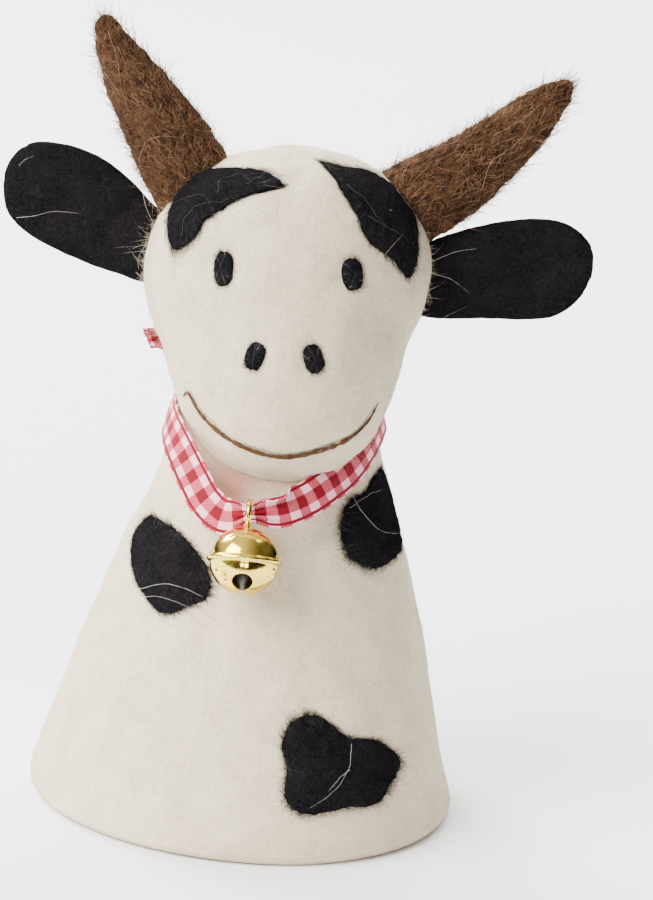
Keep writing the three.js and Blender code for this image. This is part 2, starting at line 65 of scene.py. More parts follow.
AIM = np.array([0.008279, 0.000038, 0.064314])  # metres, the point in the middle of the picture
DISTANCE = 0.7
ELEVATION, ROLL = math.radians(14.7433), math.radians(5.0834)
FOCAL_MM, SENSOR_MM = 160.194, 36.0


def camera_axes(elevation, roll):
    """Right, up and back directions: level ones tipped down by the elevation, then turned by the roll."""
    level_right = np.array([1.0, 0, 0])
    level_up = np.array([0, math.sin(elevation), math.cos(elevation)])
    back = np.array([0, -math.cos(elevation), math.sin(elevation)])
    right = level_right * math.cos(roll) + level_up * math.sin(roll)
    up = level_up * math.cos(roll) - level_right * math.sin(roll)
    return right, up, back


lens = bpy.data.cameras.new("camera")
lens.lens, lens.sensor_width, lens.sensor_fit, lens.clip_start = FOCAL_MM, SENSOR_MM, "AUTO", 0.01
axes = camera_axes(ELEVATION, ROLL)
eye = AIM + DISTANCE * axes[2]
bpy.context.scene.camera = stood("camera", lens, axes, eye)
print("camera stands at", eye.round(3))

# %% [markdown]
# ## Tables and smooth reading
# A maker would note sizes as short tables. Two readers turn them into smooth curves: one reads a
# two-column table, the other draws a line through points. All sizes here are millimetres in the
# maker's frame, with the cone's foot at the origin, and are shifted to metres when a mesh is made.

# %% Smooth readers
SHIFT = np.array([-1.8, 0.0377, 0.0])  # from the maker's frame to the part's frame, millimetres
UP = np.array([0.0, 0.0, 1.0])


def read_table(table, at):
    """Cubic through the rows of (place, value). The slope at a row is that of the line between its
    two neighbours."""
    x, y = np.asarray(table, float).T
    slope = np.concatenate([[(y[1] - y[0]) / (x[1] - x[0])], (y[2:] - y[:-2]) / (x[2:] - x[:-2]),
                            [(y[-1] - y[-2]) / (x[-1] - x[-2])]])
    k = np.clip(np.searchsorted(x, at) - 1, 0, len(x) - 2)
    span = x[k + 1] - x[k]
    s = np.clip((at - x[k]) / span, 0, 1)
    rise = slope[k] * span * s * (1 - s) ** 2 + slope[k + 1] * span * s * s * (s - 1)
    return y[k] * (1 + 2 * s) * (1 - s) ** 2 + y[k + 1] * s * s * (3 - 2 * s) + rise


def read_even(values, share):
    """The same for values that stand at equal steps from 0 to 1."""
    return read_table(np.stack([np.linspace(0, 1, len(values)), values], -1), share)


def smooth_line(points, at, closed=False):
    """Line through all the points. Between two of them it is a cubic whose end directions come from
    four neighbours, weighted by the square roots of their distances. at runs 0 to 1, equal steps a point."""
    p = np.asarray(points, float)
    if closed:
        ends, spans = np.concatenate([p[-1:], p, p[:2]]), len(p)
    else:
        ends, spans = np.concatenate([2 * p[:1] - p[1:2], p, 2 * p[-1:] - p[-2:-1]]), len(p) - 1
    place = np.clip(np.asarray(at) * spans, 0, spans - 1e-9)
    k = place.astype(int)
    w = (place - k)[..., None]
    near = [ends[k + i] for i in range(4)]
    step = [b - a for a, b in zip(near, near[1:])]
    d = [np.sqrt(np.linalg.norm(one, axis=-1, keepdims=True)) for one in step]
    p1, p2 = near[1:3]
    leave = (step[0] / d[0] - (p2 - near[0]) / (d[0] + d[1]) + step[1] / d[1]) * d[1]
    arrive = (step[1] / d[1] - (near[3] - p1) / (d[1] + d[2]) + step[2] / d[2]) * d[1]
    square, cube = 3 * step[1] - 2 * leave - arrive, 2 * (p1 - p2) + leave + arrive
    return p1 + leave * w + square * w**2 + cube * w**3


def unit(v):
    """The same directions, one long."""
    return v / np.linalg.norm(v, axis=-1, keepdims=True)


def turned(reach, angle, height):
    """Places at a reach and an angle round the upright line through zero. Angle zero is in front."""
    return np.stack(np.broadcast_arrays(reach * np.sin(angle), -reach * np.cos(angle), height), -1)


def round_angles(count):
    """Equal angles once round."""
    return np.linspace(0, 2 * math.pi, count, endpoint=False)


def even_line(points, count):
    """The smooth line at equal steps of its length, with the length run at each step."""
    fine = smooth_line(points, np.linspace(0, 1, 2000))
    run = np.concatenate([[0], np.cumsum(np.linalg.norm(np.diff(fine, axis=0), axis=1))])
    want = np.linspace(0, run[-1], count)
    return np.stack([np.interp(want, run, fine[:, k]) for k in range(3)], -1), want


def lumps(points, size, seed, waves=14):
    """Soft unevenness between about -1 and 1: a sum of waves of one length in random directions."""
    rng = np.random.default_rng(seed)
    turn = unit(rng.normal(size=(waves, 3))) * 2 * math.pi / size * rng.uniform(0.7, 1.4, (waves, 1))
    start = rng.uniform(0, 2 * math.pi, waves)
    return np.sin(np.einsum("...k,wk->...w", points, turn) + start).sum(-1) / math.sqrt(waves)


# %% [markdown]
# ## From a grid of points to a mesh
# Most pieces here are rings of points laid one after another: a cone, a horn, a thread and a folded
# ribbon differ only in where the rings are. One function joins the rings to triangles, closes each end
# in a point and makes sure that the faces look outward. Another one puts the result into Blender.

# %% Mesh helpers
MESHES = {}  # points and triangles of each piece, by its name, for the fibres that stand on it


def ring_triangles(rows, around, loop=False):
    """Corner numbers of the triangles between rings. With loop the last ring joins the first, and
    otherwise the first and last ring are single points."""
    index = np.arange(rows * around).reshape(rows, around)
    if loop:
        index = np.concatenate([index, index[:1]])
    else:
        index[0], index[-1] = index[0, 0], index[-1, 0]
    beside = np.roll(index, -1, axis=1)
    a, b, c, d = index[:-1], beside[:-1], beside[1:], index[1:]
    both = np.concatenate([np.stack(corners, -1).reshape(-1, 3) for corners in ((a, b, c), (a, c, d))])
    return both[(both != np.roll(both, -1, axis=1)).all(1)]


def outward_first(points, triangles):
    """The triangles turned so that the volume inside them counts as positive."""
    a, b, c = points[triangles].transpose(1, 0, 2)
    return triangles if np.einsum("ij,ij->", a, np.cross(b, c)) > 0 else triangles[:, ::-1]


def rings(grid, loop=False, cloth=None):
    """Points, triangles and cloth coordinates of a grid of rings, without its unused points."""
    triangles = ring_triangles(*grid.shape[:2], loop)
    used, triangles = np.unique(triangles, return_inverse=True)
    points = grid.reshape(-1, 3)[used]
    cloth = None if cloth is None else cloth.reshape(-1, 2)[used]
    return points, outward_first(points, triangles.reshape(-1, 3)), cloth


def join(parts):
    """One set of points and triangles out of several."""
    starts = np.cumsum([0] + [len(p) for p, _ in parts[:-1]])
    triangles = [t + start for (_, t), start in zip(parts, starts)]
    return np.concatenate([p for p, _ in parts]), np.concatenate(triangles), None


def put(name, shape, finish, stands_for=(), body="cosy", cloth_name="cloth"):
    """Makes the Blender object from points, triangles and cloth coordinates, if it has any: millimetres
    become metres, and cloth coordinates become a UV map."""
    points, triangles, cloth = shape
    MESHES[name] = points, triangles
    mesh = bpy.data.meshes.new(name)
    mesh.vertices.add(len(points))
    mesh.vertices.foreach_set("co", ((points + SHIFT) / 1000).astype(np.float32).ravel())
    mesh.loops.add(triangles.size)
    mesh.loops.foreach_set("vertex_index", triangles.astype(np.int32).ravel())
    mesh.polygons.add(len(triangles))
    mesh.polygons.foreach_set("loop_start", np.arange(0, triangles.size, 3, dtype=np.int32))
    mesh.polygons.foreach_set("use_smooth", np.ones(len(triangles), bool))
    if cloth is not None:
        corners = cloth[triangles].astype(np.float32).ravel()
        mesh.uv_layers.new(name=cloth_name).uv.foreach_set("vector", corners)
    mesh.update(calc_edges=True)
    mesh.validate()
    mesh.materials.append(finish[0])
    piece = bpy.data.objects.new(name, mesh)
    bpy.context.scene.collection.objects.link(piece)
    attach(piece, body)
    if stands_for:
        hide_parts(*stands_for)
    print(f"{name}: {len(triangles)} triangles")
    return piece


# %% [markdown]
# ## Finishes: building blocks
# Matted wool has no weave. Up close it is a tangle of thin curly fibres over soft clouds of tone. A
# smooth noise field crosses its middle value along curly lines, so a narrow band round that value looks
# like fibres. The wool finishes share this effect as one node group and give it their own colours.

# %% Node helpers
def link_or_set(socket, value):
    """An output of another node is linked, and a plain value is set on the socket."""
    if isinstance(value, bpy.types.NodeSocket):
        socket.id_data.links.new(value, socket)
    else:
        socket.default_value = value


def add(tree, kind, inputs=(), **options):
    """A new node with its options set and its inputs linked or set, by name or number."""
    new = tree.nodes.new("ShaderNode" + kind)
    for option, value in options.items():
        setattr(new, option, value)
    for key, value in dict(inputs).items():
        link_or_set(new.inputs[key], value)
    return new


def then(kind, inputs, **options):
    """A new node in the tree that its linked inputs come from."""
    tree = next(value.id_data for value in inputs.values() if isinstance(value, bpy.types.NodeSocket))
    return add(tree, kind, inputs, **options)


def maths(operation, a, b=0.0, clamp=False):
    """One Math node's result."""
    return then("Math", {0: a, 1: b}, operation=operation, use_clamp=clamp).outputs[0]


plus, minus, times = (partial(maths, operation) for operation in ("ADD", "SUBTRACT", "MULTIPLY"))


def mix(share, a, b):
    """Colour a, moved to colour b by the share."""
    return then("Mix", {0: share, 6: a, 7: b}, data_type="RGBA").outputs[2]


def ramp(value, low, high, to_low=0.0, to_high=1.0):
    """The value's range low to high mapped smoothly to another range."""
    inputs = {"Value": value, "From Min": low, "From Max": high, "To Min": to_low, "To Max": to_high}
    return then("MapRange", inputs, interpolation_type="SMOOTHSTEP").outputs[0]


def noise(where, scale, detail=2.0, twist=0.0, rough=0.5):
    """A noise texture's value."""
    inputs = {"Vector": where, "Scale": scale, "Detail": detail, "Distortion": twist, "Roughness": rough}
    return then("TexNoise", inputs).outputs[0]


def new_group(name, **inputs):
    """An empty node group that puts out a colour and a height. A named input is a colour where its
    starting value has four parts, and otherwise a number."""
    tree = bpy.data.node_groups.new(name, "ShaderNodeTree")
    for label, value in inputs.items():
        kind = "NodeSocketColor" if isinstance(value, tuple) else "NodeSocketFloat"
        socket = tree.interface.new_socket(label.replace("_", " "), in_out="INPUT", socket_type=kind)
        socket.default_value = value
    for label, kind in (("Color", "NodeSocketColor"), ("Height", "NodeSocketFloat")):
        tree.interface.new_socket(label, in_out="OUTPUT", socket_type=kind)
    return tree, tree.nodes.new("NodeGroupInput").outputs, tree.nodes.new("NodeGroupOutput").inputs


GREY = (0.5, 0.5, 0.5, 1)


def matted_wool():
    """Group: two tangles of curly lines, a fine grain, slow clouds and dark lines of painted shade where the
    height sinks into grooves, with a colour and a height.
    """
    tree, given, result = new_group("Matted wool", Ground=GREY, Cloud=GREY, Fibre=GREY, Shade=GREY,
                                    Fibre_share=0.5, Shade_share=0.5, Scale=600.0, Width=0.03, Twist=1.5,
                                    Grain=0.3, Cloud_size=5.0)
    where = add(tree, "TexCoord").outputs["Object"]
    moved = {"Vector": where, "Location": (0.31, 0.17, 0.53), "Rotation": (0.6, 0.9, 0.3)}
    apart = then("Mapping", moved).outputs[0]

    def curly_lines(place, factor, detail, middle):
        """1 along the lines where a noise field crosses its middle, and 0 a width away from them."""
        field = noise(place, times(given["Scale"], factor), detail, given["Twist"])
        return ramp(maths("ABSOLUTE", minus(field, middle)), 0.0, given["Width"], 1.0, 0.0)

    tangle = maths("MAXIMUM", curly_lines(where, 1.0, 1.0, 0.5), curly_lines(apart, 1.7, 1.0, 0.5))
    # Painted shade: the Shade colour goes along these lines, and the height below sinks them into grooves.
    painted_shade_lines = curly_lines(apart, 0.6, 2.0, 0.47)
    grain = noise(where, times(given["Scale"], 5.0), 3.0, 0.5, 0.7)
    clouds = ramp(noise(apart, maths("DIVIDE", given["Scale"], given["Cloud size"]), 3.0), 0.35, 0.65)
    ground = mix(clouds, given["Ground"], given["Cloud"])
    ground = mix(times(painted_shade_lines, given["Shade share"]), ground, given["Shade"])
    grained = mix(times(ramp(grain, 0.4, 0.7), given["Grain"]), ground, given["Fibre"])
    link_or_set(result["Color"], mix(times(tangle, given["Fibre share"]), grained, given["Fibre"]))
    link_or_set(result["Height"], minus(plus(times(tangle, 0.5), grain), times(painted_shade_lines, 0.4)))
    return tree


MATTED_WOOL = matted_wool()
print("node group", MATTED_WOOL.name)


# %% Material helpers
def new_material(name, **plain):
    """A material with one Principled shader, whose plain values are set on its own sockets."""
    made = bpy.data.materials.new(name)
    made.use_nodes = True
    shader = made.node_tree.nodes["Principled BSDF"]
    for key, value in plain.items():
        shader.inputs[key.replace("_", " ")].default_value = value
    return made, made.node_tree, shader.inputs


def bumped(skin, height, strength, depth):
    """The height drives a bump of so many metres."""
    bump = then("Bump", {"Height": height, "Strength": strength, "Distance": depth})
    link_or_set(skin["Normal"], bump.outputs[0])


def from_group(tree, skin, group, inputs, strength, depth):
    """A group with its own values gives the shader its base colour and its bump."""
    inputs = {key.replace("_", " "): value for key, value in inputs.items()}
    node = add(tree, "Group", inputs, node_tree=group)
    link_or_set(skin["Base Color"], node.outputs["Color"])
    bumped(skin, node.outputs["Height"], strength, depth)


def wool_finish(name, slot, colours, bump=(0.1, 0.0001), sheen=0.0, shine=0.1, Scale=900.0, **look):
    """Wool: the matted group on a rough shader with a soft sheen. The colours are those of its ground,
    its clouds, its fibres and the painted shade in the grooves between them."""
    made, tree, skin = new_material(name, Roughness=0.92, Specular_IOR_Level=shine, Sheen_Weight=sheen,
                                    Sheen_Roughness=0.5)
    look.update(zip(("Ground", "Cloud", "Fibre", "Shade"), [(*colour, 1) for colour in colours]), Scale=Scale)
    from_group(tree, skin, MATTED_WOOL, look, *bump)
    return made, slot


# %% [markdown]
# ## Wool finishes
# The cream wool is almost even, with a warmer cloud here and there. The black wool is a bluish black
# with a few grey fibres. The horns mix brown, red-brown and tan wool, so single fibres show most there.

# %% Wool finishes
CREAM = wool_finish(
    "cream wool", "wool",
    [(0.660, 0.545, 0.385), (0.580, 0.475, 0.330), (0.760, 0.655, 0.500), (0.38, 0.30, 0.21)],
    (0.45, 0.0003), 0.1,
    Scale=430.0, Width=0.035, Grain=0.25, Cloud_size=3.0, Fibre_share=0.35, Shade_share=0.36)
BLACK = wool_finish(
    "black felt", "black_felt",
    [(0.0045, 0.0041, 0.0046), (0.0075, 0.0066, 0.0068), (0.026, 0.024, 0.028), (0.002, 0.002, 0.002)],
    (0.6, 0.0003), 0.0, 0.0,
    Scale=560.0, Width=0.032, Grain=0.24, Cloud_size=3.0, Fibre_share=0.32, Shade_share=0.7)
BROWN = wool_finish(
    "brown horn felt", "horn_felt",
    [(0.034, 0.015, 0.0075), (0.072, 0.034, 0.017), (0.18, 0.10, 0.052), (0.004, 0.0015, 0.0006)],
    (1.0, 0.0005), 0.0, 0.05,
    Scale=420.0, Width=0.045, Grain=0.18, Cloud_size=1.8, Fibre_share=0.35, Shade_share=0.9)
THREAD = wool_finish(
    "brown stitch", "thread",
    [(0.040, 0.019, 0.009), (0.080, 0.040, 0.018), (0.20, 0.105, 0.045), (0.010, 0.004, 0.002)],
    (0.6, 0.0002), Width=0.05, Grain=0.4, Fibre_share=0.4)
RUST_FIBRE = wool_finish(
    "red-brown fibre", "horn_felt",
    [(0.165, 0.086, 0.044), (0.090, 0.042, 0.020), (0.26, 0.145, 0.080), (0.03, 0.012, 0.005)],
    Fibre_share=0.4)
PALE_FIBRE = wool_finish(
    "pale stray fibre", "wool",
    [(0.55, 0.52, 0.47), (0.42, 0.40, 0.37), (0.70, 0.67, 0.62), (0.3, 0.28, 0.26)], Fibre_share=0.3)
GREY_FIBRE = wool_finish(
    "grey stray fibre", "black_felt",
    [(0.12, 0.116, 0.112), (0.075, 0.072, 0.070), (0.20, 0.19, 0.18), (0.05, 0.05, 0.05)], Fibre_share=0.3)
TAN_FIBRE = wool_finish(
    "tan stray fibre", "horn_felt",
    [(0.30, 0.165, 0.085), (0.20, 0.095, 0.045), (0.55, 0.38, 0.25), (0.1, 0.05, 0.02)], Fibre_share=0.4)
print("wool finishes ready")

# %% [markdown]
# ## Gingham
# Gingham is a plain weave of white and red threads in equal bands both ways. Where a red band crosses a
# red band the cloth is full red, where it crosses white it is half and half, and elsewhere it is white.
# The pattern follows the cloth, so it reads the piece's own UV map, measured in millimetres.

# %% Gingham finish
CHECK_REPEAT = 4.0  # millimetres along the ribbon
COLUMN_HALF = 1.0  # half the red column down the middle
SELVEDGE_FROM, SELVEDGE_TO = 2.30, 2.85  # the dense red line near each edge, from the middle
THREAD_PITCH = 0.26


def gingham_weave():
    """Group: which of the two threads is on top at a place, and that thread's colour and height."""
    tree, given, result = new_group("Gingham weave", Red=GREY, Pink=GREY, White=GREY, Contrast=0.5, Dye=0.5)
    cloth = add(tree, "UVMap", uv_map="cloth").outputs[0]
    side, along = then("SeparateXYZ", {0: cloth}).outputs[:2]
    wander = times(noise(cloth, 1.3, 2.0), 0.22)
    across = plus(maths("ABSOLUTE", side), minus(wander, 0.11))
    edge = times(maths("GREATER_THAN", across, SELVEDGE_FROM), maths("LESS_THAN", across, SELVEDGE_TO))
    warp = plus(maths("LESS_THAN", across, COLUMN_HALF), edge, True)
    weft = maths("LESS_THAN", maths("FRACT", maths("DIVIDE", plus(along, wander), CHECK_REPEAT)), 0.5)
    thread = [maths("DIVIDE", out, THREAD_PITCH) for out in (side, along)]
    parity = maths("MODULO", plus(*[maths("FLOOR", count) for count in thread]), 2.0)
    over = maths("GREATER_THAN", maths("ABSOLUTE", parity), 0.5)
    top = plus(times(warp, over), times(weft, minus(1.0, over)))
    both = times(plus(warp, weft), 0.5)
    shown = plus(times(top, given["Contrast"]), times(both, minus(1.0, given["Contrast"])))
    dyed = maths("POWER", maths("MAXIMUM", shown, edge), given["Dye"])
    half_dyed = mix(ramp(dyed, 0.0, 0.7), given["White"], given["Pink"])
    link_or_set(result["Color"], mix(ramp(dyed, 0.7, 1.0), half_dyed, given["Red"]))
    humps = [maths("ABSOLUTE", maths("SINE", times(count, math.pi))) for count in thread]
    link_or_set(result["Height"], times(*humps))
    return tree


def gingham_finish():
    """Gingham on a shader with the slight shine of woven ribbon."""
    made, tree, skin = new_material("gingham ribbon", Roughness=0.6, Specular_IOR_Level=0.15)
    dyes = dict(Red=(0.19, 0.0014, 0.011, 1), Pink=(0.62, 0.095, 0.135, 1), White=(0.94, 0.46, 0.54, 1))
    from_group(tree, skin, gingham_weave(), dict(Contrast=0.45, Dye=0.40, **dyes), 0.5, 0.0001)
    return made, "gingham"


def painted_glow_finish():
    """The cream wool again, reddened and darkened where the cone's painted_glow_and_shade attribute is up: a
    painted glow of the red ribbon's light and painted shade under the chin.
    """
    made = CREAM[0].copy()
    made.name = "cream wool with painted glow and shade"
    skin = made.node_tree.nodes["Principled BSDF"].inputs
    cream = skin["Base Color"].links[0].from_socket
    share = add(made.node_tree, "Attribute", attribute_name="painted_glow_and_shade").outputs["Fac"]
    # Painted glow and shade: the ribbon's red light and the shade under the chin, mixed into the wool's
    # colour.
    link_or_set(skin["Base Color"], mix(share, cream, (0.40, 0.20, 0.135, 1)))
    return made, CREAM[1]


GINGHAM, CREAM_PAINTED_GLOW = gingham_finish(), painted_glow_finish()
print("gingham repeats every", CHECK_REPEAT, "mm")

# %% [markdown]
# ## Metals
# The bell is pressed from thin brass and polished, so it mirrors the room. Handling leaves slow clouds
# of duller metal and fine scratches. The pellet inside is a plain steel ball.

# %% Metal finishes
def metal_finish(name, slot, light, dark, smooth, dull):
    """Metal: clouds move the colour and the roughness a little, and a fine noise roughens the mirror."""
    made, tree, skin = new_material(name, Metallic=1.0)
    where = add(tree, "TexCoord").outputs["Object"]
    clouds = ramp(noise(where, 420.0, 4.0, 0.4), 0.35, 0.7)
    link_or_set(skin["Base Color"], mix(clouds, (*light, 1), (*dark, 1)))
    link_or_set(skin["Roughness"], ramp(noise(where, 900.0, 5.0), 0.3, 0.75, smooth, dull))
    bumped(skin, noise(where, 1500.0, 3.0), 0.08, 0.0001)
    return made, slot


BRASS = metal_finish("polished brass", "brass", (0.90, 0.67, 0.12), (0.74, 0.50, 0.07), 0.08, 0.22)
STEEL = metal_finish("dull steel", "steel", (0.15, 0.135, 0.12), (0.09, 0.08, 0.07), 0.42, 0.5)
print("metal finishes ready")

# %% [markdown]
# ## The cone
# The body is a seamless felt cone with a wall of 3 mm, closed under the head and open at the hem. Its
# outside is a table of radius against height, turned about the middle, with the slow waver of hand-made
# felt. The hollow follows one wall further in, so the egg's space is real.

# %% Cone
CONE = [(0, 36.4), (0.8, 37.2), (2.2, 37.6), (8, 36.1), (15, 34.1), (30, 30.3), (45, 25.4), (57, 20.6),
        (64, 18.6), (72, 16.8), (80, 14.6), (87, 11.6), (91, 7.6), (93, 0)]
HOLLOW_DOME = [(80, 11.6), (86, 8.2), (88.5, 4.6), (89.5, 0)]
CONE_TOP, HOLLOW_TOP, HEM_REACH, FELT_WALL = 93.0, 89.5, 36.4, 3.0
NECK_HEIGHT, NECK_LEAN = 57.0, 1.2
GAP = 0.3  # between pieces that touch


def smoothstep(x, low, high):
    """0 below low, 1 above high, and an S-shaped rise between."""
    s = np.clip((x - low) / (high - low), 0, 1)
    return s * s * (3 - 2 * s)


def cone_waver(angle, height):
    """Two slow waves round the cone that turn with height and fade towards both ends."""
    wave = 0.25 * np.sin(2 * angle + 0.05 * height) + 0.18 * np.sin(3 * angle - 0.11 * height + 1)
    return wave * smoothstep(height, 0, 6) * (1 - smoothstep(height, 70, 88))


def cone_lean(height):
    """The middle line leans to one side with the square of the height."""
    return NECK_LEAN * np.clip(height / NECK_HEIGHT, 0, 1) ** 2


def round_cone(reach, angle, height):
    """Places at a reach and an angle round the cone's own middle line."""
    return turned(reach, angle, height) + cone_lean(height)[..., None] * [1, 0, 0]


def cone_point(angle, height, lift=0.0):
    """A place over the cone: radius from the table, plus waver and felt lumps, out from the middle line."""
    angle, height = np.broadcast_arrays(np.asarray(angle, float), np.asarray(height, float))
    reach = read_table(CONE, height) + cone_waver(angle, height)
    rough = turned(reach, angle, height)
    soft = smoothstep(height, 2, 10) * (1 - smoothstep(height, 84, 92))
    reach = reach + (0.14 * lumps(rough, 11.0, 1) + 0.05 * lumps(rough, 3.2, 2)) * soft + lift
    return round_cone(reach, angle, height)


def cone_surface(around=200, outside_rows=104, inside_rows=16):
    """Rings down the outside, round the soft edge of the hem and up the hollow to its dome. The hem is
    lifted a little on two sides."""
    angle = round_angles(around)[None]
    down = CONE_TOP * np.cos(np.linspace(0, math.pi / 2, outside_rows)) ** 1.35
    outer = cone_point(angle, down[:, None])
    outer[0] = [cone_lean(CONE_TOP), 0, CONE_TOP]
    edge = np.linspace(0, 1, 9)[1:-1, None]
    under = turned(HEM_REACH - FELT_WALL * edge, angle, 0.35 * (2 * edge - 1) ** 4)
    rise = np.linspace(0.6, HOLLOW_TOP, inside_rows)[:, None]
    hollow = np.where(rise < 80, read_table(CONE, rise) - FELT_WALL, read_table(HOLLOW_DOME, rise))
    inner = round_cone(hollow + cone_waver(angle, rise), angle, rise)
    inner[-1] = [cone_lean(HOLLOW_TOP), 0, HOLLOW_TOP]
    grid = np.concatenate([outer, under, inner])
    low = 1 - smoothstep(grid[..., 2], 0.0, 3.0)
    grid[..., 2] += 0.45 * smoothstep(np.cos(2 * angle + 0.9), -0.2, 1.0) * low
    return grid


body = put("body_felt", rings(cone_surface()), CREAM_PAINTED_GLOW, ["body"])
# Where the painted glow of the red ribbon and the painted shade under the chin go: a soft round spot, on the
# front only.
PAINTED_GLOW_MIDDLE, PAINTED_GLOW_REACH = (-5.2, 61.6), 5.0  # across and up, inside the ribbon's V under the chin
beside, behind, above = MESHES["body_felt"][0].T
painted_glow_and_shade = np.exp(-(np.hypot(beside - PAINTED_GLOW_MIDDLE[0], above - PAINTED_GLOW_MIDDLE[1]) / PAINTED_GLOW_REACH) ** 2) * (behind < 0)
body.data.attributes.new("painted_glow_and_shade", "FLOAT", "POINT").data.foreach_set("value", painted_glow_and_shade)

# %% [markdown]
# ## The head
# The head is packed wool, needled over the cone's top. Its form is a skull ball and a muzzle ball melted
# into one. Seen from a point inside both, each direction meets each ball at some distance, and the two
# distances are blended so that the larger one wins softly. Below, the head is hollowed over the cone.

# %% Head form
HEAD_MIDDLE = np.array([1.0, -5.0, 89.0])
HEAD_BLEND = 4.0
HEAD_BALLS = [((0.55, -0.5, 96.6), (24.5, 20.5, 20.6), 10.0), ((1.7, -10.0, 79.9), (17.9, 18.0, 19.2), 6.0)]


def ball_reach(direction, at, radii, tilt):
    """Distance from the head's middle to a tilted ball along a direction: the far root of a square."""
    c, s = math.cos(math.radians(tilt)), math.sin(math.radians(tilt))
    turn = np.array([[c, 0, s], [0, 1, 0], [-s, 0, c]])
    start = turn @ (HEAD_MIDDLE - np.array(at)) / np.array(radii)
    along = direction @ turn.T / np.array(radii)
    a, b = (along**2).sum(-1), along @ start
    return (-b + np.sqrt(b * b - a * (start @ start - 1))) / a


def head_reach(direction):
    """Fourth root of the summed fourth powers of the two distances, plus felt lumps."""
    reach = sum(ball_reach(direction, *ball) ** HEAD_BLEND for ball in HEAD_BALLS) ** (1 / HEAD_BLEND)
    place = direction * reach[..., None]
    return reach + 0.12 * lumps(place, 9.0, 3) + 0.05 * lumps(place, 2.8, 4)


def way(angle, rise):
    """Direction from angles round (from the front) and up, in degrees."""
    angle, rise = np.radians(angle), np.radians(rise)
    return turned(np.cos(rise), angle, np.sin(rise))


def head_point(angle, rise, lift=0.0):
    """A place over the head's surface."""
    direction = way(angle, rise)
    return HEAD_MIDDLE + direction * (head_reach(direction) + lift)[..., None]


def cone_exit(direction):
    """Distance from the head's middle at which a direction leaves the cone plus the gap, by halving."""
    low, high = np.zeros(direction.shape[:-1]), np.full(direction.shape[:-1], 120.0)
    for _ in range(30):
        half = (low + high) / 2
        p = HEAD_MIDDLE + direction * half[..., None]
        beside = np.hypot(p[..., 0] - cone_lean(p[..., 2]), p[..., 1])
        within = beside < read_table(CONE, np.clip(p[..., 2], 0, CONE_TOP)) + GAP
        within &= p[..., 2] < CONE_TOP + GAP
        low, high = np.where(within, half, low), np.where(within, high, half)
    return low


# %% [markdown]
# The face is needled deeper in places: a furrow runs along the mouth and a small hollow surrounds each
# eye and nostril. Their distances to every point of the head's grid are worked out as one array.

# %% Face places
EYES_AND_NOSTRILS = {
    "eye_left": dict(at=(-36, 29), half=(1.75, 2.9), tilt=14, stands=0.9),
    "eye_right": dict(at=(36.5, 31.5), half=(1.85, 2.65), tilt=2, stands=0.9),
    "nostril_left": dict(at=(-11, -6.5), half=(1.65, 2.25), tilt=-16, stands=0.7),
    "nostril_right": dict(at=(14.5, -5.5), half=(1.7, 2.35), tilt=20, stands=0.7),
}
MOUTH = [(-51, -32, 0.35), (-46, -29, 0.5), (-39, -35, 0.6), (-28, -39.5, 0.6), (-12, -43.5, 0.6),
         (6, -44.5, 0.6), (23, -42, 0.6), (36, -38, 0.55), (46, -32.5, 0.45), (52, -26, 0.3)]
mouth_rows = np.array(MOUTH)
mouth_line, _ = even_line(head_point(mouth_rows[:, 0], mouth_rows[:, 1]), 90)


def furrowed(points):
    """Points moved towards the head's middle: by the mouth's furrow, and by a hollow at eyes and nostrils.
    Both fade with the square of the distance, as a bell curve does."""
    near = np.linalg.norm(points[..., None, :] - mouth_line, axis=-1).min(-1)
    depth = 0.45 * np.exp(-((near / 1.1) ** 2))
    for spot in EYES_AND_NOSTRILS.values():
        off = np.linalg.norm(points - head_point(*spot["at"]), axis=-1)
        depth += 0.40 * np.exp(-((off / (spot["half"][1] + 0.8)) ** 4))
    return points - unit(points - HEAD_MIDDLE) * depth[..., None]


def head_surface(around=208, outer_rows=112, inner_rows=9):
    """For each direction round, the outside runs from the crown down to where it meets the cone, found
    by halving, and the inside runs back up along the cone."""
    angle = np.linspace(0, 360, around, endpoint=False)[None]
    low, high = np.full((1, around), -89.0), np.zeros((1, around))
    for _ in range(26):
        half = (low + high) / 2
        direction = way(angle, half)
        outside = head_reach(direction) > cone_exit(direction)
        low, high = np.where(outside, low, half), np.where(outside, half, high)
    share = np.linspace(0, 1, outer_rows)[:, None]
    outer = furrowed(head_point(angle, 90 - share * (90 - high)))
    share = np.linspace(1, 0, inner_rows)[1:, None]
    direction = way(angle, 90 - share * (90 - high))
    inner = HEAD_MIDDLE + direction * cone_exit(direction)[..., None]
    return np.concatenate([outer, inner])


put("head_wool", rings(head_surface()), CREAM, ["head"])

# %% [markdown]
# ## Horns
# A horn is brown wool rolled to a curved taper and pressed a little flat. It is a line with half a width
# at each place, and ovals stand across the line. The root goes into the head, as needled wool does.

# %% Horns
HORNS = {
    "horn_left": [(-11.5, 2, 100, 7.0), (-17.6, 2, 110, 7.3), (-22.2, 2.5, 117, 6.8), (-26.2, 3, 122.6, 5.7),
                  (-30.1, 3.5, 127.8, 4.3), (-32.9, 4, 132.2, 2.9), (-34.5, 4.2, 136.6, 1.5)],
    "horn_right": [(12.5, 2, 102.5, 7.0), (21.1, 2, 109, 7.2), (26.6, 2.5, 112.6, 6.9), (32.4, 3, 117.5, 5.9),
                   (37.6, 3.5, 122.5, 4.9), (42.2, 4, 127.5, 3.6), (46.6, 4.2, 132.1, 1.4)],
}
HORN_FLATNESS = 0.68


